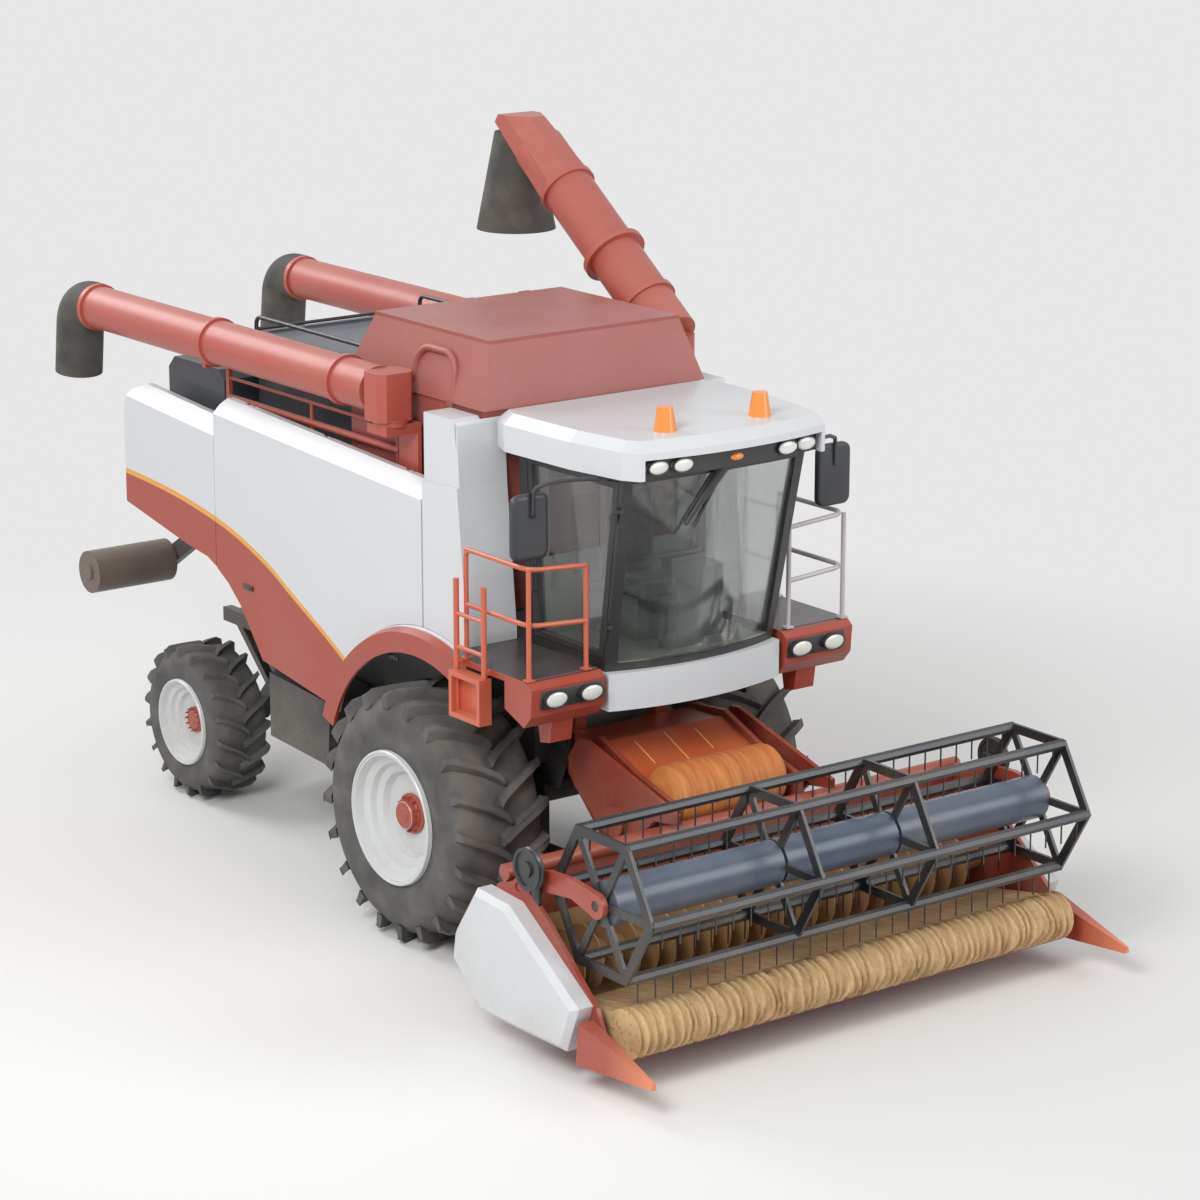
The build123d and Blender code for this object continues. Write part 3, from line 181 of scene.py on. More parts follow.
def weathered():
    """Paint or plastic with faded tops, dust low down and in patches, and a fine orange peel."""
    tree, given, out = effect("weathered", ("Paint", "Faded", "Dust"), ("Fading", "Dustiness", "Gloss"))
    place = object_place(tree)
    blotch = blotches(tree, place, 1.6, 5.0)
    speck = blotches(tree, place, 38.0, 4.0)
    peel = blotches(tree, place, 160.0, 2.0)
    facing = parts_of(tree, surface(tree, "Normal"))["Z"]
    height = parts_of(tree, place)["Z"]
    sky = ramp(tree, facing, 0.0, 1.0, 0.15, 1.0)
    patch = ramp(tree, blotch, 0.35, 0.7, 0.6, 1.0)
    fade = product(tree, sky, patch, given.outputs["Fading"])
    coated = mix(tree, fade, given.outputs["Paint"], given.outputs["Faded"])
    low = ramp(tree, height, 2.4, 0.2, 0.12, 1.0)
    settled = product(tree, low, ramp(tree, blotch, 0.38, 0.72))
    dust = product(tree, settled, ramp(tree, speck, 0.35, 0.65, 0.45, 1.0), given.outputs["Dustiness"])
    colour = mix(tree, dust, coated, given.outputs["Dust"])
    rough = math_node(tree, "ADD", given.outputs["Gloss"], product(tree, dust, 0.5))
    rough = math_node(tree, "ADD", rough, ramp(tree, speck, 0.3, 0.7, -0.03, 0.05), True)
    return finish_group(tree, out, Colour=colour, Roughness=rough, Height=peel)


def moulded_rubber():
    """Rubber with a dull bloom, dried dirt in patches, and a fine pitted skin."""
    tree, given, out = effect("moulded rubber", ("Rubber", "Bloom", "Dirt"), ("Dirtiness",))
    place = object_place(tree)
    blotch = blotches(tree, place, 4.0, 6.0)
    pits = blotches(tree, place, 90.0, 5.0)
    dull = ramp(tree, blotch, 0.35, 0.7, 0.1, 0.9)
    bloom = mix(tree, dull, given.outputs["Rubber"], given.outputs["Bloom"])
    dirt = product(tree, ramp(tree, blotch, 0.52, 0.68), ramp(tree, pits, 0.4, 0.6), given.outputs["Dirtiness"])
    colour = mix(tree, dirt, bloom, given.outputs["Dirt"])
    rough = ramp(tree, blotch, 0.3, 0.7, 0.68, 0.86)
    return finish_group(tree, out, Colour=colour, Roughness=rough, Height=pits)


def woven():
    """Cloth with warp and weft, and slightly uneven thread colour."""
    tree, given, out = effect("woven", ("Thread", "Shadow"), ("Threads",))
    place = object_place(tree)
    waves = {"Vector": place, "Scale": given.outputs["Threads"], "Distortion": 0.4, "Detail": 1.0}
    along, over, up = [add(tree, "ShaderNodeTexWave", waves, bands_direction=direction).outputs["Fac"]
                       for direction in ("X", "Y", "Z")]
    cross = product(tree, math_node(tree, "ADD", along, over), up)
    uneven = blotches(tree, place, 9.0, 6.0)
    shade = product(tree, ramp(tree, cross, 0.0, 1.2, 0.3, 1.0), ramp(tree, uneven, 0.2, 0.8, 0.6, 1.0))
    colour = mix(tree, shade, given.outputs["Shadow"], given.outputs["Thread"])
    rough = ramp(tree, cross, 0.0, 1.0, 0.92, 0.75)
    return finish_group(tree, out, Colour=colour, Roughness=rough, Height=cross)


WEATHERED = weathered()
RUBBER = moulded_rubber()
WOVEN = woven()


def new_material(name):
    """A node material with its tree and its Principled shader."""
    made = bpy.data.materials.new(name)
    made.use_nodes = True
    return made, made.node_tree, made.node_tree.nodes["Principled BSDF"]


def dress_shader(tree, shader, colour, roughness, height=None, bump=0.0, reach=0.0, **values):
    """Links a colour, a roughness and a relief to a Principled shader, and sets its other values."""
    tree.links.new(colour, shader.inputs["Base Color"])
    tree.links.new(roughness, shader.inputs["Roughness"])
    if height is not None:
        relief = add(tree, "ShaderNodeBump", {"Height": height, "Strength": bump, "Distance": reach})
        tree.links.new(relief.outputs["Normal"], shader.inputs["Normal"])
    for label, value in values.items():
        shader.inputs[label.replace("_", " ")].default_value = value


def material(name, group, values, bump, reach, **shader_values):
    """A material whose Principled shader takes colour, roughness and bump from one effect."""
    made, tree, shader = new_material(name)
    worked = add(tree, "ShaderNodeGroup", values, node_tree=group)
    dress_shader(tree, shader, worked.outputs["Colour"], worked.outputs["Roughness"], worked.outputs["Height"],
                 bump, reach, **shader_values)
    return made, tree, worked


def paint(name, colour, faded, fading=0.5, dustiness=0.5, gloss=0.34, coat=0.25, **extra):
    """A weathered paint under a thin clear coat."""
    values = {"Paint": colour, "Faded": faded, "Dust": DUST,
              "Fading": fading, "Dustiness": dustiness, "Gloss": gloss}
    return material(name, WEATHERED, values, 0.06, 0.0008, Coat_Weight=coat, Coat_Roughness=0.18, **extra)


def rubber(name, skin, bloom, dirt, dirtiness, bump, reach):
    """A moulded rubber, more or less dirty."""
    values = {"Rubber": skin, "Bloom": bloom, "Dirt": dirt, "Dirtiness": dirtiness}
    return material(name, RUBBER, values, bump, reach)[0]


white_paint = paint("white paint", WHITE, WHITE_FADED, 0.6, 0.35)[0]
red_paint = paint("brick red paint", RED, RED_FADED, 0.55, 0.45)[0]
tank_red = paint("faded red sheet", tone(152, 76, 66), tone(178, 122, 116), 0.9, 0.3, 0.5, 0.05)[0]
tube_red = paint("auger tube red", tone(172, 76, 60), tone(190, 118, 106), 0.85, 0.3, 0.44, 0.12)[0]
strip_yellow = paint("worn strip", tone(222, 150, 70), tone(232, 176, 104), 0.5, 0.2, 0.4, 0.0)[0]
straw_paint = paint("straw dusted steel", tone(178, 142, 96), tone(206, 172, 126), 0.6, 0.5, 0.6, 0.0)[0]
black_paint = paint("black paint", BLACK, BLACK_FADED, 0.5, 0.5, 0.42)[0]
reel_black = paint("reel black", tone(28, 31, 36), tone(60, 66, 76), 0.55, 0.3, 0.36)[0]
reel_blue = paint("reel tube blue grey", tone(62, 74, 94), tone(118, 132, 152), 0.6, 0.3, 0.36)[0]
deck_grey = paint("deck grey", tone(72, 76, 84), tone(108, 114, 122), 0.5, 0.5, 0.55)[0]
body_grey = paint("body grey", tone(70, 72, 75), tone(96, 98, 102), 0.4, 0.6, 0.6)[0]
rim_white = paint("rim white", tone(206, 209, 210), tone(222, 225, 227), 0.4, 0.4, 0.3)[0]
drum_brown = paint("drum brown grey", tone(96, 84, 78), tone(128, 116, 108), 0.5, 0.6, 0.6)[0]
bare_steel = paint("ground steel", tone(150, 152, 156), tone(176, 178, 180), 0.3, 0.2, 0.28, 0.0,
                   Metallic=1.0)[0]
cab_plastic = paint("cab plastic", tone(96, 99, 98), tone(126, 128, 127), 0.4, 0.1, 0.6)[0]
mirror_shell = paint("mirror shell", tone(46, 48, 52), tone(72, 75, 80), 0.4, 0.2, 0.5)[0]
tyre_rubber = rubber("tyre rubber", tone(70, 69, 68), tone(108, 107, 104), tone(118, 104, 88), 0.55, 0.35, 0.002)
spout_rubber = rubber("spout rubber", tone(58, 56, 54), tone(96, 92, 86), tone(120, 108, 92), 0.35, 0.25, 0.0015)
seat_cloth = material("seat cloth", WOVEN,
                      {"Thread": tone(92, 92, 92), "Shadow": tone(44, 44, 46), "Threads": 120.0},
                      0.5, 0.0008, Sheen_Weight=0.3)[0]


def side_paint():
    """White above the yellow line and brick red below it."""
    made, tree, worked = paint("side panel paint", WHITE, WHITE_FADED, 0.45, 0.3)
    place = parts_of(tree, object_place(tree))
    back, front = SIDE_LINE[0][0], SIDE_LINE[-1][0]
    low, high = 1.5, 3.0
    wide, soft = 0.042, 0.0015
    along = ramp(tree, place["X"], AHEAD + back, AHEAD + front)
    line = tree.nodes.new("ShaderNodeFloatCurve")
    curve = line.mapping.curves[0]
    for index, (x, z) in enumerate(SIDE_LINE):
        share = ((x - back) / (front - back), (z - low) / (high - low))
        if index in (0, len(SIDE_LINE) - 1):
            curve.points[min(index, 1)].location = share
        else:
            curve.points.new(*share)
    line.mapping.update()
    tree.links.new(along, line.inputs["Value"])
    drop = math_node(tree, "SUBTRACT", place["Z"], ramp(tree, line.outputs[0], 0.0, 1.0, low, high))
    above = ramp(tree, drop, -soft, soft)
    below = ramp(tree, drop, -wide - soft, soft - wide, 1.0, 0.0)
    for label, white, red in (("Paint", WHITE, RED), ("Faded", WHITE_FADED, RED_FADED)):
        upper = mix(tree, above, YELLOW, white)
        tree.links.new(mix(tree, below, upper, red), worked.inputs[label])
    return made


def two_tone(tree, worked, share, fresh, faded):
    """Takes an effect's paint from one colour to another by a share, both fresh and faded."""
    tree.links.new(mix(tree, share, *fresh), worked.inputs["Paint"])
    tree.links.new(mix(tree, share, *faded), worked.inputs["Faded"])


def arch_paint_with_highlight():
    """Brick red on the arch's face, and a white band where it meets the panel, which is a painted highlight
    along the arch's edge.
    """
    made, tree, worked = paint("arch paint and painted highlight", RED, RED_FADED, 0.5, 0.4)
    out = math_node(tree, "ABSOLUTE", parts_of(tree, object_place(tree))["Y"])
    # The white band along the arch's inner edge is a painted highlight.
    two_tone(tree, worked, ramp(tree, out, 1.222, 1.238), (WHITE, RED), (WHITE_FADED, RED_FADED))
    return made


def divider_paint():
    """Red that turns orange towards the worn tip."""
    made, tree, worked = paint("divider paint", RED, RED_FADED, 0.5, 0.4)
    tip = ramp(tree, parts_of(tree, object_place(tree))["X"], AHEAD + 3.2, AHEAD + 3.62)
    two_tone(tree, worked, tip, (RED, tone(226, 126, 86)), (RED_FADED, tone(236, 156, 110)))
    return made


def by_place(name, pair, other_pair, mask, **extra):
    """Paint of one fresh and faded pair of colours that turns into another where a mask says so."""
    made, tree, worked = paint(name, *pair, **extra)
    place = parts_of(tree, object_place(tree))
    facing = parts_of(tree, surface(tree, "Normal"))
    two_tone(tree, worked, mask(tree, place, facing), *zip(pair, other_pair))
    return made


def within(tree, value, low, high, soft=0.004):
    """One between two values and nought outside them."""
    return product(tree, ramp(tree, value, low - soft, low), ramp(tree, value, high, high + soft, 1.0, 0.0))


def near_middle(tree, place, reach):
    """One up to a distance from the machine's middle plane."""
    return within(tree, math_node(tree, "ABSOLUTE", place["Y"]), -1.0, reach)


def along(tree, place, back, front):
    """One between two places given from the front axle."""
    return within(tree, place["X"], AHEAD + back, AHEAD + front)


def cab_lining(tree, place, facing):
    """The inner faces of the cab's rear wall and floor."""
    across = near_middle(tree, place, 0.712)
    behind = along(tree, place, 0.545, 0.60)
    floor = product(tree, within(tree, place["Z"], 2.10, 2.24), ramp(tree, facing["Z"], 0.8, 0.9))
    inner = product(tree, along(tree, place, 0.55, 1.50), floor)
    return product(tree, across, math_node(tree, "MAXIMUM", behind, inner))


def deck_tops(tree, place, facing):
    """The upper faces of the side decks."""
    return product(tree, ramp(tree, facing["Z"], 0.8, 0.9), within(tree, place["Z"], 2.15, 2.25))


def table_bed(tree, place, facing):
    """The table's bed and back, where the crop runs."""
    low = within(tree, place["Z"], 0.17, 0.80)
    across = near_middle(tree, place, 1.918)
    inner = along(tree, place, 1.985, 2.99)
    up = ramp(tree, math_node(tree, "ADD", facing["Z"], facing["X"]), 0.3, 0.6)
    return product(tree, low, across, inner, up)


def ramp_painted_highlight(tree, place, facing):
    """The lower part of the feeder's ramp, where it faces up, which the ramp's paint turns bright orange as a
    painted highlight.
    """
    up = ramp(tree, facing["Z"], 0.6, 0.8)
    middle = near_middle(tree, place, 0.515)
    return product(tree, up, middle, ramp(tree, place["X"], AHEAD + 1.0, AHEAD + 1.56))


def left_side(tree, place, facing):
    """The machine's left side."""
    return ramp(tree, place["Y"], 0.0, 0.01)


def stretched(tree, place, scale):
    """A place scaled along each axis by itself."""
    return add(tree, "ShaderNodeMapping", {"Vector": place, "Scale": scale}).outputs[0]


def pleated_cloth():
    """Straw-coloured rubberised cloth with painted shade in the hollows of its folds, and short cross marks."""
    made, tree, shader = new_material("straw cloth")
    wide = stretched(tree, object_place(tree), (1.0, 6.0, 1.0))
    blotch = blotches(tree, wide, 4.0, 6.0)
    fine = blotches(tree, wide, 34.0, 3.0)
    bent = ramp(tree, surface(tree, "Pointiness"), 0.44, 0.55)
    base = mix(tree, ramp(tree, blotch, 0.3, 0.7), tone(186, 148, 100), tone(222, 190, 142))
    # Darker brown where the surface is hollow, in the folds: painted shade.
    base = mix(tree, ramp(tree, bent, 0.0, 1.0, 0.55, 0.0), base, tone(120, 88, 54))
    base = mix(tree, ramp(tree, fine, 0.56, 0.66, 0.0, 0.5), base, tone(132, 98, 60))
    dress_shader(tree, shader, base, ramp(tree, blotch, 0.3, 0.7, 0.75, 0.9), fine, 0.5, 0.004)
    return made


def roll_cloth():
    """Orange-tan cloth, redder towards its top, with fine creases round the roll whose hollows are painted
    darker as painted shade.
    """
    made, tree, shader = new_material("orange cloth")
    place = object_place(tree)
    crease = blotches(tree, stretched(tree, place, (1.5, 14.0, 1.5)), 2.2, 5.0)
    top = ramp(tree, parts_of(tree, place)["Z"], 1.32, 1.52)
    # The noise that sinks the creases also darkens the cloth in them: painted shade.
    base = mix(tree, ramp(tree, crease, 0.3, 0.7), tone(188, 108, 50), tone(222, 152, 84))
    base = mix(tree, ramp(tree, top, 0.0, 1.0, 0.0, 0.35), base, tone(176, 70, 34))
    dress_shader(tree, shader, base, ramp(tree, crease, 0.3, 0.7, 0.6, 0.8), crease, 0.6, 0.012)
    return made


def clear(name, colour, roughness, **values):
    """A glass, lens or mirror finish with slightly uneven colour and gloss."""
    made, tree, shader = new_material(name)
    smear = blotches(tree, object_place(tree), 3.0, 4.0)
    dimmed = [part * 0.9 for part in colour[:3]] + [1.0]
    base = mix(tree, ramp(tree, smear, 0.35, 0.7), colour, dimmed)
    dress_shader(tree, shader, base, ramp(tree, smear, 0.3, 0.7, roughness, roughness + 0.05), **values)
    return made


side_panel = side_paint()
cab_black = by_place("cab black and lining", (BLACK, BLACK_FADED),
                     (tone(138, 142, 132), tone(150, 154, 144)), cab_lining, gloss=0.42)
rail_paint = by_place("rail orange and pale", (tone(198, 92, 64), tone(218, 140, 114)),
                      (tone(188, 178, 180), tone(208, 204, 206)), left_side, dustiness=0.25)
deck_red = by_place("deck red", (RED, RED_FADED), (tone(58, 50, 54), tone(84, 76, 80)), deck_tops, gloss=0.36)
table_red = by_place("table red", (tone(150, 56, 38), RED_FADED),
                     (tone(196, 160, 112), tone(212, 180, 134)), table_bed)
# The feeder's ramp is a darker red that turns bright orange where its lower part faces up: a painted highlight.
ramp_red = by_place("ramp red with painted highlight", (tone(134, 48, 32), tone(170, 78, 52)),
                    (tone(196, 88, 40), tone(206, 106, 56)), ramp_painted_highlight)
arch_red = arch_paint_with_highlight()
divider_red = divider_paint()
straw_cloth = pleated_cloth()
orange_cloth = roll_cloth()
cab_glass = clear("cab glass", tone(196, 208, 204), 0.02, Transmission_Weight=1.0, IOR=1.45, Alpha=0.4)
lamp_glass = clear("lamp glass", tone(226, 228, 222), 0.08, Coat_Weight=1.0)
orange_lens = clear("orange lens", tone(240, 146, 60), 0.25, Coat_Weight=0.5)
mirror_face = clear("mirror face", tone(190, 196, 200), 0.03, Metallic=1.0)

NODE_FINISHES = {
    white_paint: ["body_panels", "cab_roof", "front_apron", "header_shields"],
    side_panel: ["side_door_left", "side_door_right"],
    arch_red: ["wheel_arches"],
    tank_red: ["grain_tank", "tank_lid"],
    tube_red: ["unloader_left", "unloader_right", "unloader_raised", "unloader_towers", "side_rails"],
    red_paint: ["reel_arms"],
    deck_red: ["platforms"],
    table_red: ["header_table"],
    ramp_red: ["feeder_house"],
    divider_red: ["crop_dividers"],
    rail_paint: ["railings"],
    cab_black: ["cab_frame"],
    black_paint: ["cab_door", "lamp_band", "chassis_frame", "front_axle", "rear_axle", "engine", "side_tanks",
                  "knuckle_left", "knuckle_right", "deck_rails", "lift_barrels"],
    straw_paint: ["header_auger"],
    body_grey: ["threshing_body"],
    deck_grey: ["engine_deck"],
    reel_black: ["reel"],
    reel_blue: ["reel_tube"],
    rim_white: ["rim_front_left", "rim_front_right", "rim_rear_left", "rim_rear_right"],
    drum_brown: ["spreader_drum_left", "spreader_drum_right"],
    bare_steel: ["lift_rods"],
    cab_plastic: ["cab_fittings"],
    mirror_shell: ["mirrors"],
    tyre_rubber: ["tyre_front_left", "tyre_front_right", "tyre_rear_left", "tyre_rear_right"],
    spout_rubber: ["spout_left", "spout_right", "spout_raised"],
    seat_cloth: ["seat"],
    straw_cloth: ["intake_apron"],
    orange_cloth: ["feeder_roll"],
    cab_glass: ["cab_glass", "door_glass"],
    orange_lens: ["lamps"],
    lamp_glass: ["work_lamps"],
}


def dress_nodes():
    """Gives every carried-over node its finish."""
    for finish, names in NODE_FINISHES.items():
        for name in names:
            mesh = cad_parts[name].data
            if mesh.materials:
                for index in range(len(mesh.materials)):
                    mesh.materials[index] = finish
            else:
                mesh.materials.append(finish)


dress_nodes()
# The rear panels take the striped paint too, and they share a node with plain white ones
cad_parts["body_panels"].data.materials[0] = side_panel


def in_scene(name, data):
    """An object in the scene that shows a mesh, a lamp or a camera."""
    made = bpy.data.objects.new(name, data)
    bpy.context.scene.collection.objects.link(made)
    return made


def object_from(name, form):
    """Turns a bmesh into an object in the scene."""
    mesh = bpy.data.meshes.new(name)
    form.to_mesh(mesh)
    form.free()
    return in_scene(name, mesh)


def piece(name, form, finish, body, sharp=32):
    """Turns a bmesh into a piece that rides on a body, with edges sharper than an angle left hard."""
    for edge in form.edges:
        edge.smooth = len(edge.link_faces) != 2 or edge.calc_face_angle(math.pi) < math.radians(sharp)
    for face in form.faces:
        face.smooth = True
    made = object_from(name, form)
    made.data.materials.append(finish)
    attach(made, body)
    return made


def only(kind, items):
    """What is of one kind in the geometry that an operator gives back."""
    return [item for item in items if isinstance(item, kind)]


def bevelled(form, edges, offset, segments=2):
    """Rounds some edges off."""
    bmesh.ops.bevel(form, geom=edges, offset=offset, affect="EDGES", segments=segments, profile=0.5,
                    material=-1)


def box_in(form, low, high, offset, turn=None):
    """A bevelled block between two corners."""
    low, high = Vector(low), Vector(high)
    size = high - low
    place = Matrix.Translation((low + high) / 2)
    if turn:
        place = place @ turn
    made = bmesh.ops.create_cube(form, size=1.0, matrix=place @ Matrix.Diagonal((*size, 1.0)))
    edges = list({edge for vert in made["verts"] for edge in vert.link_edges})
    bevelled(form, edges, min(offset, min(size) * 0.3))


def side_box_in(form, side, low, high, offset):
    """A bevelled block on one side, between two corners given from the front axle as on the left."""
    near, far = sorted((side * low[1], side * high[1]))
    box_in(form, at(low[0], near, low[2]), at(high[0], far, high[2]), offset)


def bar_in(form, start, end, radius, sides, far_radius=None):
    """A closed round bar or cone between two points."""
    start, end = Vector(start), Vector(end)
    way = end - start
    turn = way.to_track_quat("Z", "Y").to_matrix().to_4x4()
    bmesh.ops.create_cone(form, cap_ends=True, segments=sides, radius1=radius,
                          radius2=radius if far_radius is None else far_radius, depth=way.length,
                          matrix=Matrix.Translation((start + end) / 2) @ turn)


def ball_in(form, centre, radius):
    """A ball that closes the bend between two bars."""
    bmesh.ops.create_icosphere(form, subdivisions=2, radius=radius, matrix=Matrix.Translation(centre))


def lens_in(form, centre, half_sizes, segments):
    """A round form with its half sizes along each axis."""
    bmesh.ops.create_uvsphere(form, u_segments=segments, v_segments=12, radius=1.0,
                              matrix=Matrix.Translation(centre) @ Matrix.Diagonal((*half_sizes, 1.0)))


def turned_in(form, outline, centre, steps):
    """A form turned about a line along Y through a centre, from (radius, y) points."""
    points = [form.verts.new(centre + Vector((0, y, radius))) for radius, y in outline]
    edges = [form.edges.new(pair) for pair in zip(points, points[1:])]
    if outline[0] == outline[-1]:
        bmesh.ops.remove_doubles(form, verts=[points[0], points[-1]], dist=1e-6)
        edges = [edge for edge in edges if edge.is_valid]
        points = [point for point in points if point.is_valid]
    bmesh.ops.spin(form, geom=points + edges, cent=centre, axis=(0, 1, 0), angle=math.tau, steps=steps,
                   use_merge=True)


def sided(outline, side, out=0.0):
    """An outline of (radius, y) points moved outwards and turned to one side."""
    return [(radius, side * (out + y)) for radius, y in outline]


def tidy_normals(form):
    """Merges points that meet, and turns every face outwards."""
    bmesh.ops.remove_doubles(form, verts=form.verts[:], dist=1e-5)
    bmesh.ops.recalc_face_normals(form, faces=form.faces[:])


def tyre_section(wheel):
    """The tyre's own section, as (radius, y) points from bead to bead."""
    radius, half, bead = wheel["radius"], wheel["width"] / 2, wheel["rim"]
    tread = 0.058 * radius / FRONT["radius"]
    crown = radius - tread - 0.004
    wall = crown - bead
    side = [(bead + 0.002, half * 0.86), (bead + 0.008, half * 0.915), (bead + 0.03, half * 0.935),
            (bead + 0.30 * wall, half * 0.985), (bead + 0.5 * wall, half * 1.0),
            (bead + 0.72 * wall, half * 0.985), (crown - 0.075 * radius, half * 0.92),
            (crown - 0.025 * radius, half * 0.80), (crown - 0.006 * radius, half * 0.55), (crown, half * 0.25)]
    return sided(side, -1) + [(crown + 0.001, 0.0)] + side[::-1]


def lug_in(form, wheel, turn, side):
    """One curved, tapered lug of the tread, from the middle of the tyre over its shoulder."""
    radius, half = wheel["radius"], wheel["width"] / 2
    crown = radius - 0.066 * radius
    reach, thick, sunk = 0.125, 0.075, 0.02
    foot_wide, top_wide = 1.15, 0.72
    shoulder = 0.72
    grid = bmesh.ops.create_grid(form, x_segments=9, y_segments=2, size=0.5)["verts"]
    faces = list({face for vert in grid for face in vert.link_faces})
    shares = {vert: (vert.co.x + 0.5, vert.co.y) for vert in grid}

    def place(share, across, lift):
        y = (-0.09 + share ** 1.25 * 1.05) * half
        angle = reach - 2 * reach * share + thick * 0.5 + across * thick * (top_wide if lift else foot_wide)
        drop = max(0.0, (abs(y) / half - shoulder) / (1 - shoulder)) ** 1.7
        ground = crown - drop * 0.075 * radius
        top = radius - 0.002 - drop * 0.045 * radius
        level = ground - sunk + (top - ground + sunk) * lift
        turned = turn + angle
        return Vector((level * math.sin(turned), side * y, level * math.cos(turned)))

    raised = only(VERT, bmesh.ops.extrude_face_region(form, geom=faces)["geom"])
    for vert in raised:
        shares[vert] = (vert.co.x + 0.5, vert.co.y)
    for vert, (share, across) in shares.items():
        vert.co = place(share, across, 1.0 if vert in raised else 0.0)
    rim = [edge for edge in {edge for vert in raised for edge in vert.link_edges}
           if all(vert in raised for vert in edge.verts)
           and sum(1 for face in edge.link_faces if all(vert in raised for vert in face.verts)) == 1]
    bevelled(form, rim, 0.008 * radius / FRONT["radius"])


def build_tyres():
    """The tyres with their lugs, in place of the plain ones."""
    for name, wheel in WHEELS:
        pitch = math.tau / wheel["lugs"]
        for side, word in SIDES:
            form = bmesh.new()
            turned_in(form, tyre_section(wheel), Vector((0, 0, 0)), 96)
            for index in range(wheel["lugs"]):
                lug_in(form, wheel, index * pitch, side)
                lug_in(form, wheel, (index + 0.5) * pitch, -side)
            bmesh.ops.recalc_face_normals(form, faces=form.faces[:])
            bmesh.ops.translate(form, verts=form.verts[:], vec=wheel_centre(wheel, side))
            made = piece(f"tread_{name}_{word}", form, tyre_rubber, f"{name}_wheel_{word}", 40)
            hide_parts(f"tyre_{name}_{word}")


def build_hubs():
    """The red hub with its studs on each white rim, and the rim's rolled lip."""
    studs = 12
    for name, wheel in WHEELS:
        rim, out = wheel["rim"], wheel["hub"]
        scale = rim / FRONT["rim"]
        lip = wheel["width"] / 2 + 0.001
        deep = lip - 0.42 * rim
        drum, flange = 0.21 * rim, 0.3 * rim
        hub = [(flange + 0.004, deep + 0.001), (flange + 0.004, deep + 0.021), (flange - 0.004, deep + 0.026),
               (drum + 0.012, deep + 0.026), (drum + 0.004, deep + 0.034), (drum + 0.004, out - 0.008),
               (drum - 0.006, out + 0.004), (0.55 * drum, out + 0.005), (0.5 * drum, out + 0.010),
               (POLE, out + 0.011)]
        ring = [(rim - 0.012, lip - 0.006), (rim + 0.008, lip - 0.010), (rim + 0.012, lip + 0.002),
                (rim + 0.006, lip + 0.010), (rim - 0.006, lip + 0.010), (rim - 0.012, lip - 0.006)]
        # Each stud is a nut and the bolt's end that stands out of it
        nut = 0.011 * scale
        stud = ((0.02, 0.046, nut, 6), (0.04, 0.056, nut * 0.55, 8))
        for side, word in SIDES:
            centre = wheel_centre(wheel, side)
            form = bmesh.new()
            turned_in(form, sided(hub, side), centre, 48)
            for index in range(studs):
                turn = math.tau * index / studs
                foot = centre + Vector((math.sin(turn), 0, math.cos(turn))) * (flange - 0.016 * scale)
                for start, end, radius, sides in stud:
                    bar_in(form, foot + Vector((0, side * (deep + start), 0)),
                           foot + Vector((0, side * (deep + end), 0)), radius, sides)
            tidy_normals(form)
            piece(f"hub_{name}_{word}", form, red_paint, f"{name}_wheel_{word}")
            form = bmesh.new()
            turned_in(form, sided(ring, side), centre, 72)
            tidy_normals(form)
            piece(f"rim_lip_{name}_{word}", form, rim_white, f"{name}_wheel_{word}")


def build_intake():
    """The pleated cloth over the intake roll and its bed."""
    half, count, pitch = 1.85, 420, 0.066
    shallow, deep = 0.005, 0.024
    form = bmesh.new()
    first = [form.verts.new(at(x, -half, z)) for x, z in INTAKE_LOOP]
    loop = [form.edges.new((first[i - 1], first[i])) for i in range(len(first))]
    bmesh.ops.subdivide_edges(form, edges=loop, cuts=1, use_grid_fill=False)
    faces = bmesh.ops.contextual_create(form, geom=form.edges[:])["faces"]
    for _ in range(count):
        grown = bmesh.ops.extrude_face_region(form, geom=faces)["geom"]
        bmesh.ops.translate(form, verts=only(VERT, grown), vec=(0, 2 * half / count, 0))
        faces = only(FACE, grown)
    middle = at(3.13, 0, 0.38)
    roll_back, blend = at(3.02, 0, 0).x, 0.06
    for vert in form.verts:
        if abs(abs(vert.co.y) - half) < 1e-4:
            continue
        out = Vector((vert.co.x - middle.x, 0, vert.co.z - middle.z))
        wander = noise.noise(Vector((vert.co.x * 3.0, vert.co.y * 2.0, vert.co.z * 5.0)))
        phase = vert.co.y / pitch + 0.9 * noise.noise(Vector((vert.co.y * 9.0, vert.co.z * 4.0, 3.0)))
        pleat = (0.5 + 0.5 * math.cos(math.tau * phase)) ** 1.6
        on_roll = min(1.0, max(0.0, (vert.co.x - roll_back) / blend))
        depth = shallow + deep * on_roll * (0.75 + 0.5 * wander)
        vert.co -= out.normalized() * depth * (1.0 - pleat)
    bmesh.ops.recalc_face_normals(form, faces=form.faces[:])
    made = piece("intake_cloth", form, straw_cloth, "header", 60)
    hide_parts("intake_apron")


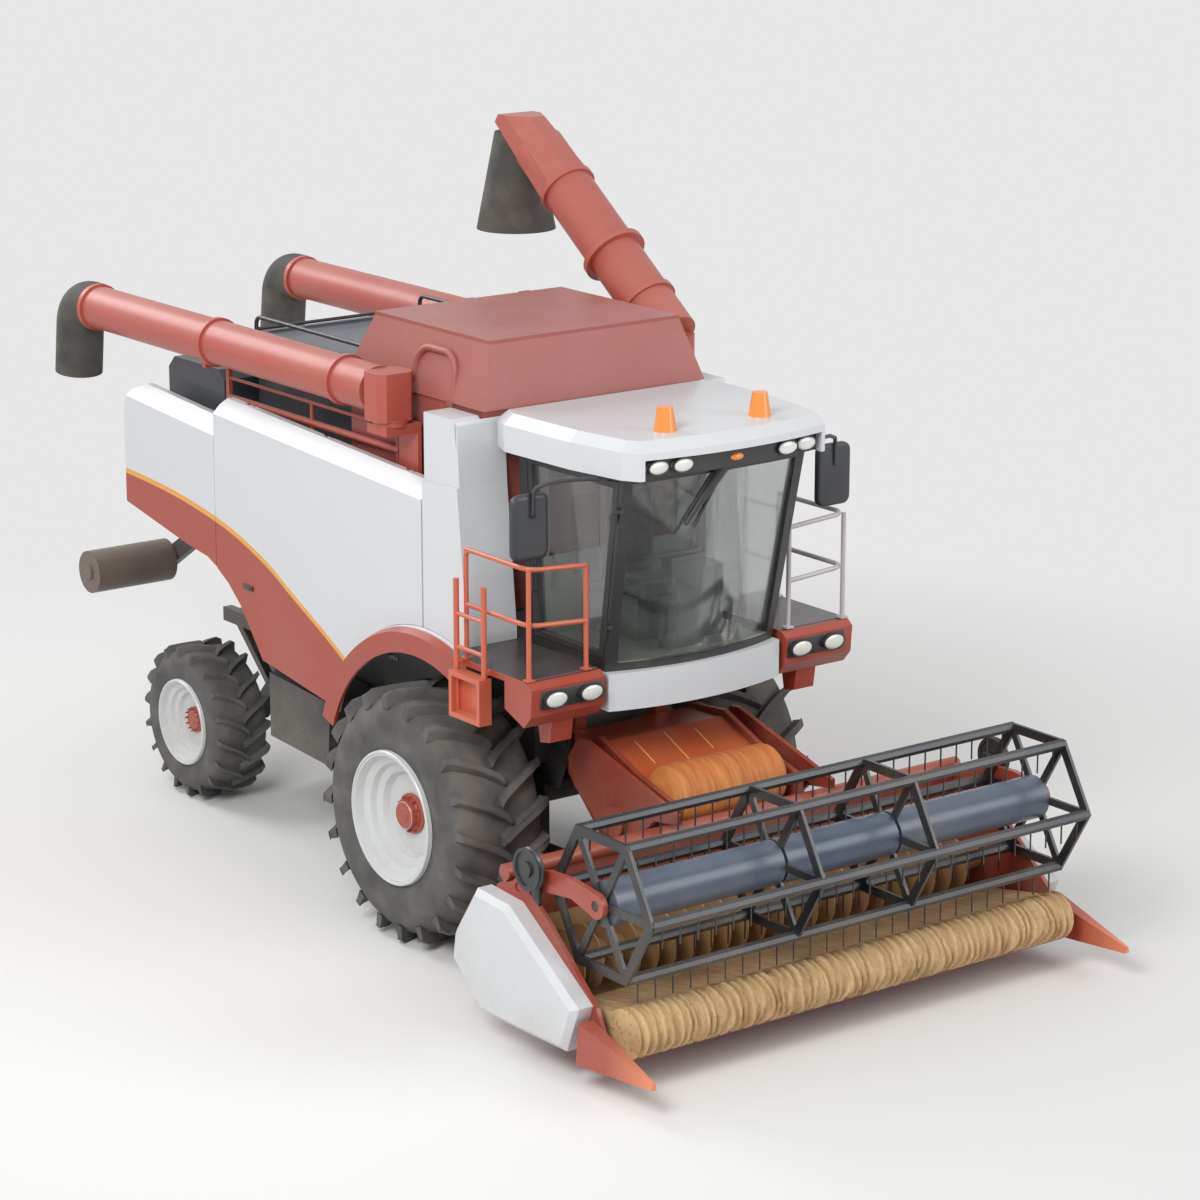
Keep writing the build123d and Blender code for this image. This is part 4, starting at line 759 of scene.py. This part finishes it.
def build_feeder_roll():
    """The padded roll in the feeder's trough, crowned at its ends, creased, and cut to the trough below."""
    half, radius, crown, steps = 0.512, 0.222, 0.10, 44
    centre = at(1.72, 0, 1.30)
    form = bmesh.new()
    profile = [(POLE, -half)]
    for index in range(1, steps):
        y = -half + 2 * half * index / steps
        end = min(1.0, (half - abs(y)) / crown)
        profile.append((radius * math.sqrt(1 - (1 - end) ** 2), y))
    profile.append((POLE, half))
    turned_in(form, profile, centre, 56)
    for vert in form.verts:
        out = Vector((vert.co.x - centre.x, 0, vert.co.z - centre.z))
        if out.length < 0.01:
            continue
        crease = noise.noise(Vector((vert.co.x * 5.0, vert.co.y * 22.0, vert.co.z * 5.0)))
        sag = noise.noise(Vector((vert.co.x * 3.0, vert.co.y * 4.0, vert.co.z * 3.0)))
        vert.co += out.normalized() * (0.0045 * crease + 0.004 * sag - 0.006)
    tidy_normals(form)
    front, corner, back = at(1.955, 0, 1.092), at(1.62, 0, 1.192), at(1.54, 0, 1.387)
    for low, high in ((corner, back), (front, corner)):
        out = (high - low).cross(Vector((0, 1, 0))).normalized()
        cut = bmesh.ops.bisect_plane(form, geom=form.verts[:] + form.edges[:] + form.faces[:], dist=1e-6,
                                     plane_co=low, plane_no=out, clear_outer=True)
        bmesh.ops.edgeloop_fill(form, edges=only(EDGE, cut["geom_cut"]))
    bmesh.ops.recalc_face_normals(form, faces=form.faces[:])
    made = piece("feeder_sack", form, orange_cloth, "header", 60)
    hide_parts("feeder_roll")


def stuffed(name, low, high):
    """A seat cushion: a rounded block blown up as cloth, then smoothed once."""
    skin, swell, frames = 0.014, 0.012, 20
    form = bmesh.new()
    box_in(form, low, high, 0.03)
    made = object_from(name, form)
    remesh = made.modifiers.new("fine skin", "REMESH")
    remesh.mode = "VOXEL"
    remesh.voxel_size = skin
    bake_modifiers(made)
    before = [vert.co.copy() for vert in made.data.vertices]
    cloth = made.modifiers.new("blown", "CLOTH")
    cloth.settings.use_pressure = True
    cloth.settings.uniform_pressure_force = 4
    cloth.settings.effector_weights.gravity = 0
    scene = bpy.context.scene
    for number in range(1, frames + 1):
        scene.frame_set(number)
    bake_modifiers(made)
    scene.frame_set(1)
    for vert, rest in zip(made.data.vertices, before):
        moved = vert.co - rest
        if moved.length > swell:
            vert.co = rest + moved.normalized() * swell
    smooth = made.modifiers.new("rounded", "SUBSURF")
    smooth.levels = smooth.render_levels = 1
    bake_modifiers(made)
    for polygon in made.data.polygons:
        polygon.use_smooth = True
    made.data.materials.append(seat_cloth)
    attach(made, "body")
    return made


def bake_modifiers(made):
    """Applies a piece's modifiers to its mesh."""
    shown = made.evaluated_get(bpy.context.evaluated_depsgraph_get())
    mesh = bpy.data.meshes.new_from_object(shown)
    made.modifiers.clear()
    made.data = mesh


def build_seat():
    """The seat's cushion and back, in place of the plain seat."""
    cushion = stuffed("seat_cushion", at(0.80, -0.22, 2.512), at(1.215, 0.22, 2.608))
    stuffed("seat_back", at(0.695, -0.205, 2.64), at(0.765, 0.205, 3.22))
    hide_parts("seat")


def oval_ring_in(form, middle, wide, high, thick, depth):
    """A raised oval ring that looks forwards."""
    outer = bmesh.ops.create_circle(form, segments=36, radius=1.0, matrix=Matrix.Translation(middle)
                                    @ Matrix.Rotation(math.pi / 2, 4, "Y")
                                    @ Matrix.Diagonal((high + thick, wide + thick, 1.0, 1.0)))["verts"]
    rim = list({edge for vert in outer for edge in vert.link_edges})
    wall = bmesh.ops.extrude_edge_only(form, edges=rim)["geom"]
    bmesh.ops.translate(form, verts=only(VERT, wall), vec=(depth, 0, 0))
    face = bmesh.ops.extrude_edge_only(form, edges=only(EDGE, wall))["geom"]
    shrink = Matrix.Diagonal((1.0, wide / (wide + thick), high / (high + thick), 1.0))
    bmesh.ops.transform(form, matrix=shrink, space=Matrix.Translation(-middle), verts=only(VERT, face))
    back = bmesh.ops.extrude_edge_only(form, edges=only(EDGE, face))["geom"]
    bmesh.ops.translate(form, verts=only(VERT, back), vec=(-depth, 0, 0))


def build_lamps():
    """The black rings and the crowned glasses of the work lamps, and the small amber lamp between them."""
    glass, rims, amber = bmesh.new(), bmesh.new(), bmesh.new()
    for x, y, z, wide, high in WORK_LAMPS:
        for side in (-1, 1):
            middle = at(x, side * y, z)
            oval_ring_in(rims, middle - Vector((0.016, 0, 0)), wide, high, 0.009, 0.022)
            lens_in(glass, middle, (0.014, wide * 0.98, high * 0.98), 28)
    lens_in(amber, at(1.898, 0.0, 3.6175), (0.022, 0.055, 0.026), 24)
    bmesh.ops.solidify(rims, geom=rims.faces[:], thickness=0.002)
    bmesh.ops.recalc_face_normals(rims, faces=rims.faces[:])
    piece("lamp_glasses", glass, lamp_glass, "body")
    piece("lamp_rims", rims, black_paint, "body")
    piece("roof_marker", amber, orange_lens, "body")


def build_mirror_faces():
    """The looking-glass in each mirror shell's rear face."""
    form = bmesh.new()
    for side in (-1, 1):
        side_box_in(form, side, (1.322, 1.165, 3.02), (1.332, 1.425, 3.42), 0.003)
    piece("mirror_glass", form, mirror_face, "body")


def build_wiper():
    """The wiper's arm and blade, which hang from the lamp band over the windscreen."""
    form = bmesh.new()
    head, tip = at(1.722, 0.02, 3.515), at(1.722, -0.29, 3.165)
    bar_in(form, head, tip, 0.046, 14, 0.014)
    bar_in(form, at(1.716, -0.06, 3.48), at(1.716, -0.38, 3.11), 0.014, 10, 0.009)
    bar_in(form, at(1.700, 0.02, 3.515), at(1.748, 0.02, 3.515), 0.04, 20)
    tidy_normals(form)
    piece("wiper_arm", form, black_paint, "body")


def build_mirrors():
    """Mirror shells with rounded corners, each on a bent tube."""
    deep, wide, high, tube = 0.045, 0.29, 0.44, 0.014
    form = bmesh.new()
    for side in (-1, 1):
        place = Matrix.Translation(at(1.3525, side * 1.295, 3.22)) @ Matrix.Diagonal((deep, wide, high, 1.0))
        made = bmesh.ops.create_cube(form, size=1.0, matrix=place)
        edges = {edge for vert in made["verts"] for edge in vert.link_edges}
        corners = [edge for edge in edges if abs(edge.verts[0].co.x - edge.verts[1].co.x) > 0.04]
        bevelled(form, corners, 0.06, 6)
        shell = [face for face in form.faces if face.calc_center_median().x > at(1.37, 0, 0).x]
        rim = {edge for face in shell for edge in face.edges
               if sum(1 for other in edge.link_faces if other in shell) == 1}
        bevelled(form, list(rim), 0.018, 3)
        route = [at(x, side * y, z) for x, y, z in MIRROR_TUBE]
        for start, end in zip(route, route[1:]):
            bar_in(form, start, end, tube, 12)
            ball_in(form, end, tube)
        side_box_in(form, side, (1.53, 0.80, 3.50), (1.59, 0.86, 3.5447), 0.006)
    made = piece("mirror_shells", form, mirror_shell, "body")
    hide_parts("mirrors")


def build_lamp_panels():
    """The dark panels that the deck lamps sit in."""
    form = bmesh.new()
    for side in (-1, 1):
        side_box_in(form, side, (1.476, 0.80, 2.004), (1.4905, 1.305, 2.132), 0.004)
    piece("lamp_panels", form, black_paint, "body")


def build_ramp_strips():
    """Three worn bright wear strips down the feeder's ramp."""
    (top_x, top_z), (foot_x, foot_z) = (1.130, 1.560), (1.540, 1.385)
    fall = math.atan2(top_z - foot_z, foot_x - top_x)
    wide, thick = 0.012, 0.003
    form = bmesh.new()
    for y, start, end in ((-0.30, 1.19, 1.42), (-0.03, 1.16, 1.46), (0.22, 1.19, 1.40)):
        middle = (start + end) / 2
        centre = at(middle, y, top_z - (middle - top_x) * math.tan(fall) + thick / 2)
        half_size = Vector(((end - start) / math.cos(fall), wide, thick)) / 2
        box_in(form, centre - half_size, centre + half_size, 0.001, Matrix.Rotation(fall, 4, "Y"))
    piece("ramp_strips", form, strip_yellow, "header")


def build_handles():
    """The grab handle on the cab door and the latches low on the side doors."""
    form = bmesh.new()
    grip = 0.011
    bottom, top = at(0.70, -0.80, 2.58), at(0.70, -0.80, 2.82)
    for start, end in ((at(0.70, -0.762, 2.80), top), (at(0.70, -0.755, 2.56), bottom), (bottom, top)):
        bar_in(form, start, end, grip, 14)
    for corner in (bottom, top):
        ball_in(form, corner, grip)
    piece("cab_door_handle", form, black_paint, "cab_door")
    for side, word in reversed(SIDES):
        form = bmesh.new()
        for x, z in ((-0.42, 1.93), (-2.35, 2.02)):
            side_box_in(form, side, (x - 0.07, 1.199, z - 0.018), (x + 0.07, 1.212, z + 0.018), 0.005)
            bar_in(form, at(x + 0.04, side * 1.205, z), at(x + 0.04, side * 1.219, z), 0.009, 14)
        piece(f"side_latches_{word}", form, black_paint, f"side_door_{word}")


def build_reel_drive():
    """The belt wheels by the reel arm's pivot, on a bracket at each end of the table."""
    form = bmesh.new()
    x, z = 2.305, 1.275
    wheel = [(POLE, 0.0), (0.05, 0.0), (0.055, 0.012), (0.115, 0.012), (0.12, 0.0), (0.142, 0.0), (0.142, 0.008),
             (0.128, 0.022), (0.142, 0.036), (0.142, 0.044), (0.12, 0.044), (0.115, 0.032), (0.055, 0.032),
             (0.05, 0.048), (POLE, 0.048)]
    for side in (-1, 1):
        turned_in(form, sided(wheel, side, 1.975), at(x, 0, z), 40)
        bar_in(form, at(x, side * 1.916, z), at(x, side * 1.985, z), 0.022, 16)
        side_box_in(form, side, (x - 0.04, 1.921, 0.98), (x + 0.04, 1.949, z + 0.04), 0.006)
    tidy_normals(form)
    piece("reel_drive", form, reel_black, "header")


build_tyres()
build_hubs()
build_intake()
build_feeder_roll()
build_seat()
build_lamps()
build_lamp_panels()
build_wiper()
build_mirrors()
build_mirror_faces()
build_ramp_strips()
build_handles()
build_reel_drive()


def floor_finish():
    """A pale matt floor that turns into even light far from the machine, so that no horizon shows."""
    made, tree, shader = new_material("pale floor")
    shader.inputs["Base Color"].default_value = FLOOR
    shader.inputs["Roughness"].default_value = 0.9
    glow = add(tree, "ShaderNodeEmission", {"Color": BACKDROP, "Strength": 1.0})
    far = add(tree, "ShaderNodeVectorMath", {0: object_place(tree)}, operation="LENGTH").outputs["Value"]
    blend = add(tree, "ShaderNodeMixShader",
                {"Fac": ramp(tree, far, 5.0, 10.0), 1: shader.outputs[0], 2: glow.outputs[0]})
    tree.links.new(blend.outputs[0], tree.nodes["Material Output"].inputs["Surface"])
    return made


def build_stage():
    """A plain pale floor, a soft world and studio lamps."""
    form = bmesh.new()
    bmesh.ops.create_grid(form, x_segments=1, y_segments=1, size=80.0)
    floor = object_from("floor", form)
    floor.data.materials.append(floor_finish())
    world = bpy.data.worlds.new("soft studio")
    bpy.context.scene.world = world
    world.use_nodes = True
    tree = world.node_tree
    rays = add(tree, "ShaderNodeLightPath").outputs
    mirrored = math_node(tree, "MAXIMUM", rays["Is Glossy Ray"], rays["Is Transmission Ray"])
    seen = math_node(tree, "MAXIMUM", rays["Is Camera Ray"], mirrored)
    back = tree.nodes["Background"]
    back.inputs["Color"].default_value = BACKDROP
    tree.links.new(ramp(tree, seen, 0.0, 1.0, 0.58, 1.0), back.inputs["Strength"])
    for name, place, aim, size, power in (
            ("key", (9.0, -13.0, 13.0), (0.0, 0.0, 1.5), 7.0, 2000.0),
            ("fill", (14.0, 8.0, 8.0), (1.0, 0.0, 1.5), 8.0, 750.0),
            ("rear", (-12.0, -4.0, 11.0), (-1.0, 0.0, 2.0), 7.0, 900.0)):
        data = bpy.data.lights.new(name, "AREA")
        data.energy = power
        data.size = size
        lamp = in_scene(name, data)
        lamp.location = place
        lamp.rotation_euler = (Vector(aim) - Vector(place)).to_track_quat("-Z", "Y").to_euler()


def build_camera():
    """The camera stands where the photograph was taken from."""
    heading, down = 2.500, 0.260
    data = bpy.data.cameras.new("camera")
    data.lens = 110.87
    data.sensor_width = 36.0
    camera = in_scene("camera", data)
    camera.location = at(20.399, -14.947, 8.961)
    camera.rotation_euler = (math.pi / 2 - down, 0.0, heading - math.pi / 2)
    bpy.context.scene.camera = camera


build_stage()
build_camera()
bpy.context.scene.view_settings.view_transform = "Standard"
